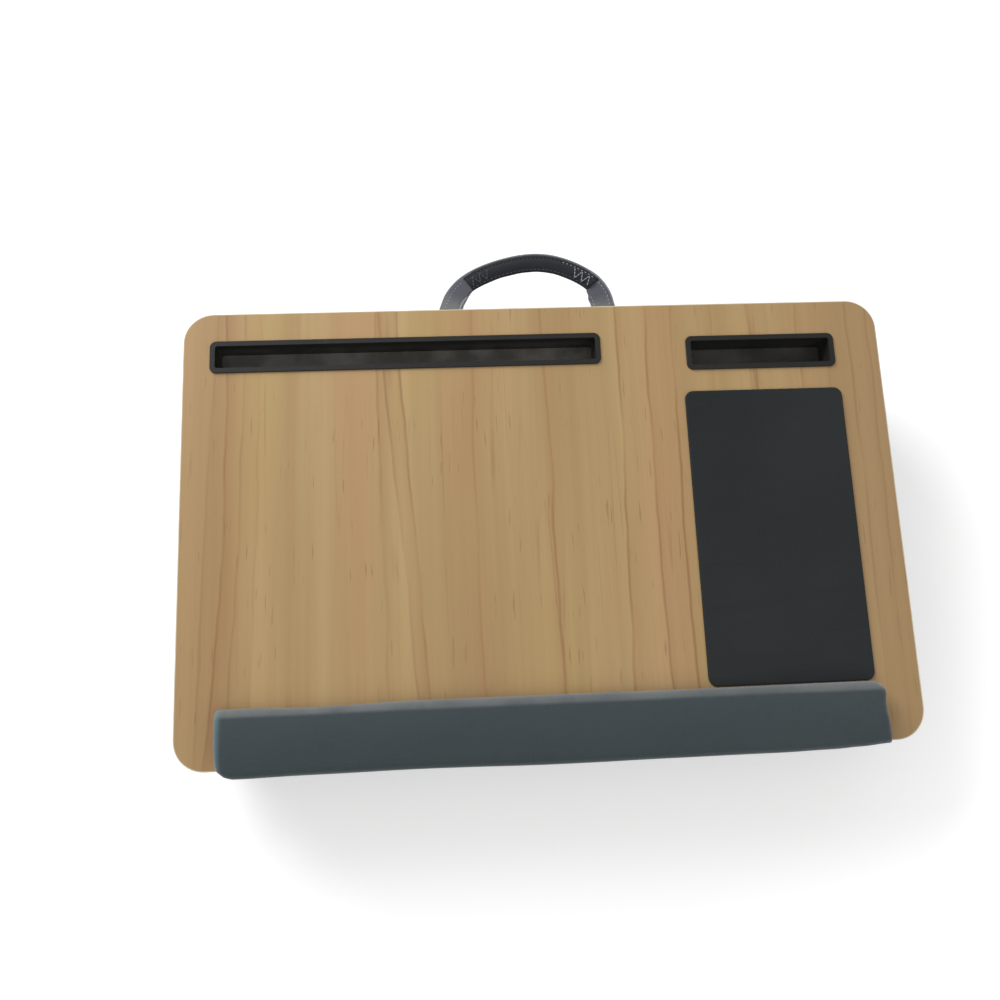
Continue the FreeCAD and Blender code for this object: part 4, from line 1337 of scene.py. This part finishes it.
def make_grip():
    """The folded grip in the middle of the strap, its ends closed over the flat strap."""
    stations = []
    for i in range(-2, GRIP_STATIONS + 3):
        travel = GRIP_START + (GRIP_END - GRIP_START) * clamped(i / GRIP_STATIONS)
        middle, out = strap_place(travel)
        past = min(i, GRIP_STATIONS - i)
        lump = 0.06 * lumps(travel * 0.09, 2.0, 0)
        thick = GRIP_THICK * (1 + 0.06 * math.exp(-past ** 2 / 3.0) + lump)
        inner = GRIP_INNER + 0.25 * lumps(travel * 0.07, 6.0, 0)
        outer = GRIP_OUTER
        if past < 0:
            beyond, flatter, narrower = GRIP_CLOSING[past]
            middle = middle + Vector((out.y, -out.x)) * (beyond if i > 0 else -beyond)
            thick *= flatter
            inner, outer = inner + narrower, outer - narrower
        stations.append((middle, out, grip_section(inner, outer, thick)))
    return sweep("strap_grip", stations)


def zigzag(first, last, turns):
    """The sewn zigzag that closes one end of the grip."""
    points = [strap_point(*strap_place(travel), 3.9 if i % 2 else -4.4, 2.42)
              for i, travel in enumerate(travels(first, last, turns))]
    seam = []
    for p, q in zip(points, points[1:]):
        thirds = [p.lerp(q, s) for s in (0.04, 0.34, 0.66, 0.96)]
        seam.extend(((a, UP), (b, UP)) for a, b in zip(thirds, thirds[1:]))
    return seam


def make_handle():
    """Two flat ends, a rim and a rolled edge on them, and the folded grip."""
    ends = make_strap_ends()
    rim = cord_along("strap_rim", LEFT_ROOT - 8.0, RIGHT_ROOT + 8.0, STRAP_HALF - 0.45, 0.9)
    roll = cord_along("strap_rolled_edge", LEFT_ROOT - 4.0, 46.5, -7.1, 1.5, 0.35, 10.0)
    for end, tail in zip(ends, ("handle_tail_left", "handle_tail_right")):
        finish_piece(end, "strap", body=None, replaced=[tail])
    finish_piece(rim, "rim", body=None)
    finish_piece(roll, "rim", body=None)
    end_seams = [strap_seam(LEFT_ROOT, GRIP_START - 1, 5.0, 1.0, 1.7, 1.3),
                 strap_seam(GRIP_END + 1, RIGHT_ROOT, 5.3, 1.0, 2.2, 1.1),
                 strap_seam(GRIP_END + 8, RIGHT_ROOT, -7.4, 1.0, 2.0, 1.2)]
    end_stitching = sew("strap_end_stitching", end_seams, "thread", None, 0.3)
    for piece in [*ends, rim, roll, end_stitching]:
        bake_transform(piece)
    finish_piece(make_grip(), "grip", body="handle", replaced=["handle_loop"])
    pale_from = GRIP_END - 30.0
    pale_seam = strap_seam(pale_from, GRIP_END - 1, 5.0, 1.3, 2.1, 1.2)
    sew("strap_grip_stitching_pale", [pale_seam], "thread", "handle", 0.3)
    dim_seams = [strap_seam(GRIP_START + 1, pale_from, 5.0, 1.3, 2.1, 1.2),
                 strap_seam(GRIP_START + 1, GRIP_END - 1, -4.9, 1.6, 2.1, 1.2)]
    sew("strap_grip_stitching_grey", dim_seams, "dim", "handle", 0.26)
    sew("strap_zigzag_right", [zigzag(GRIP_END - 2.5, GRIP_END - 19.0, 5)], "zigzag", "handle", 0.48)
    sew("strap_zigzag_left", [zigzag(GRIP_START + 2.5, GRIP_START + 19.0, 5)], "faint", "handle", 0.42)


make_handle()


# Floor, light and camera

# The floor's glow under the desk, and where it starts and ends on its way to plain white, in metres.
FLOOR_GLOW, GLOW_START, GLOW_END = 0.34, 0.3, 0.85
ROOM_LIGHT = 0.5
AIM = (0, 0, 0.05)
CAMERA_PLACE = (-0.06726, -0.19458, 0.72025)
CAMERA_TURN = (16.413, -2.2002, -2.5899)
CAMERA_LENS = 31.615


def make_floor():
    """A white floor that keeps the shadow near the desk and glows plain white away from it."""
    nothing_selected()
    bpy.ops.mesh.primitive_plane_add(size=12, location=(0, 0, -0.0005))
    floor = name_primitive("floor")
    floor.data.transform(floor.matrix_world)
    floor.matrix_world = Matrix.Identity(4)
    paper = Finish("white floor", {"Roughness": 0.95, "Specular IOR Level": 0.0})
    fibre = paper.grains(paper.place(), scale=900, detail=2.0)
    paper.colour(paper.tones(fibre, [(0.3, tone(234, 234, 234)), (0.7, tone(238, 238, 238))]))
    path = paper.node("LightPath")
    seen = paper.maths("MAXIMUM", path.outputs["Is Camera Ray"], path.outputs["Is Glossy Ray"])
    seen = paper.maths("MAXIMUM", seen, path.outputs["Is Transmission Ray"])
    away = paper.node("VectorMath", {0: paper.place((1, 1, 0))}, operation="LENGTH").outputs["Value"]
    strength = paper.times(seen, paper.between(away, GLOW_START, GLOW_END, FLOOR_GLOW, 1.0))
    glow = paper.node("Emission", {"Color": (1, 1, 1, 1), "Strength": strength})
    both = paper.node("AddShader", {0: paper.shader.outputs[0], 1: glow.outputs[0]})
    output = paper.tree.nodes["Material Output"]
    paper.tree.links.new(both.outputs[0], output.inputs["Surface"])
    floor.data.materials.append(paper.material)


def make_world():
    """A pale room: soft light all round, and plain white where the camera sees it."""
    world = bpy.data.worlds.new("pale room")
    bpy.context.scene.world = world
    world.use_nodes = True
    tree = world.node_tree
    background = tree.nodes["Background"]
    background.inputs["Color"].default_value = (1, 1, 1, 1)
    path = tree.nodes.new("ShaderNodeLightPath")
    seen = tree.nodes.new("ShaderNodeMath")
    seen.operation = "MAXIMUM"
    tree.links.new(path.outputs["Is Camera Ray"], seen.inputs[0])
    tree.links.new(path.outputs["Is Transmission Ray"], seen.inputs[1])
    strength = tree.nodes.new("ShaderNodeMapRange")
    strength.inputs["To Min"].default_value = ROOM_LIGHT
    strength.inputs["To Max"].default_value = 1.0
    tree.links.new(seen.outputs[0], strength.inputs["Value"])
    tree.links.new(strength.outputs[0], background.inputs["Strength"])


def add_lamp(name, place, size, power):
    """A square lamp turned towards the desk."""
    lamp = bpy.data.lights.new(name, "AREA")
    lamp.energy = power
    lamp.size = size
    shown = show(name, lamp)
    shown.location = place
    shown.rotation_euler = (Vector(AIM) - Vector(place)).to_track_quat("-Z", "Y").to_euler()


def make_camera():
    """The photo's viewpoint, fitted to the board's outline."""
    camera = bpy.data.cameras.new("photo camera")
    camera.lens = CAMERA_LENS
    camera.sensor_width = 36.0
    camera.clip_start = 0.01
    shown = show("photo camera", camera)
    shown.location = CAMERA_PLACE
    shown.rotation_euler = [math.radians(a) for a in CAMERA_TURN]
    bpy.context.scene.camera = shown


make_floor()
make_world()
add_lamp("window", (-1.15, 1.3, 0.95), 1.2, 39.0)
add_lamp("fill", (0.7, -1.2, 1.3), 1.6, 6.5)
make_camera()
bpy.context.scene.view_settings.view_transform = "Standard"
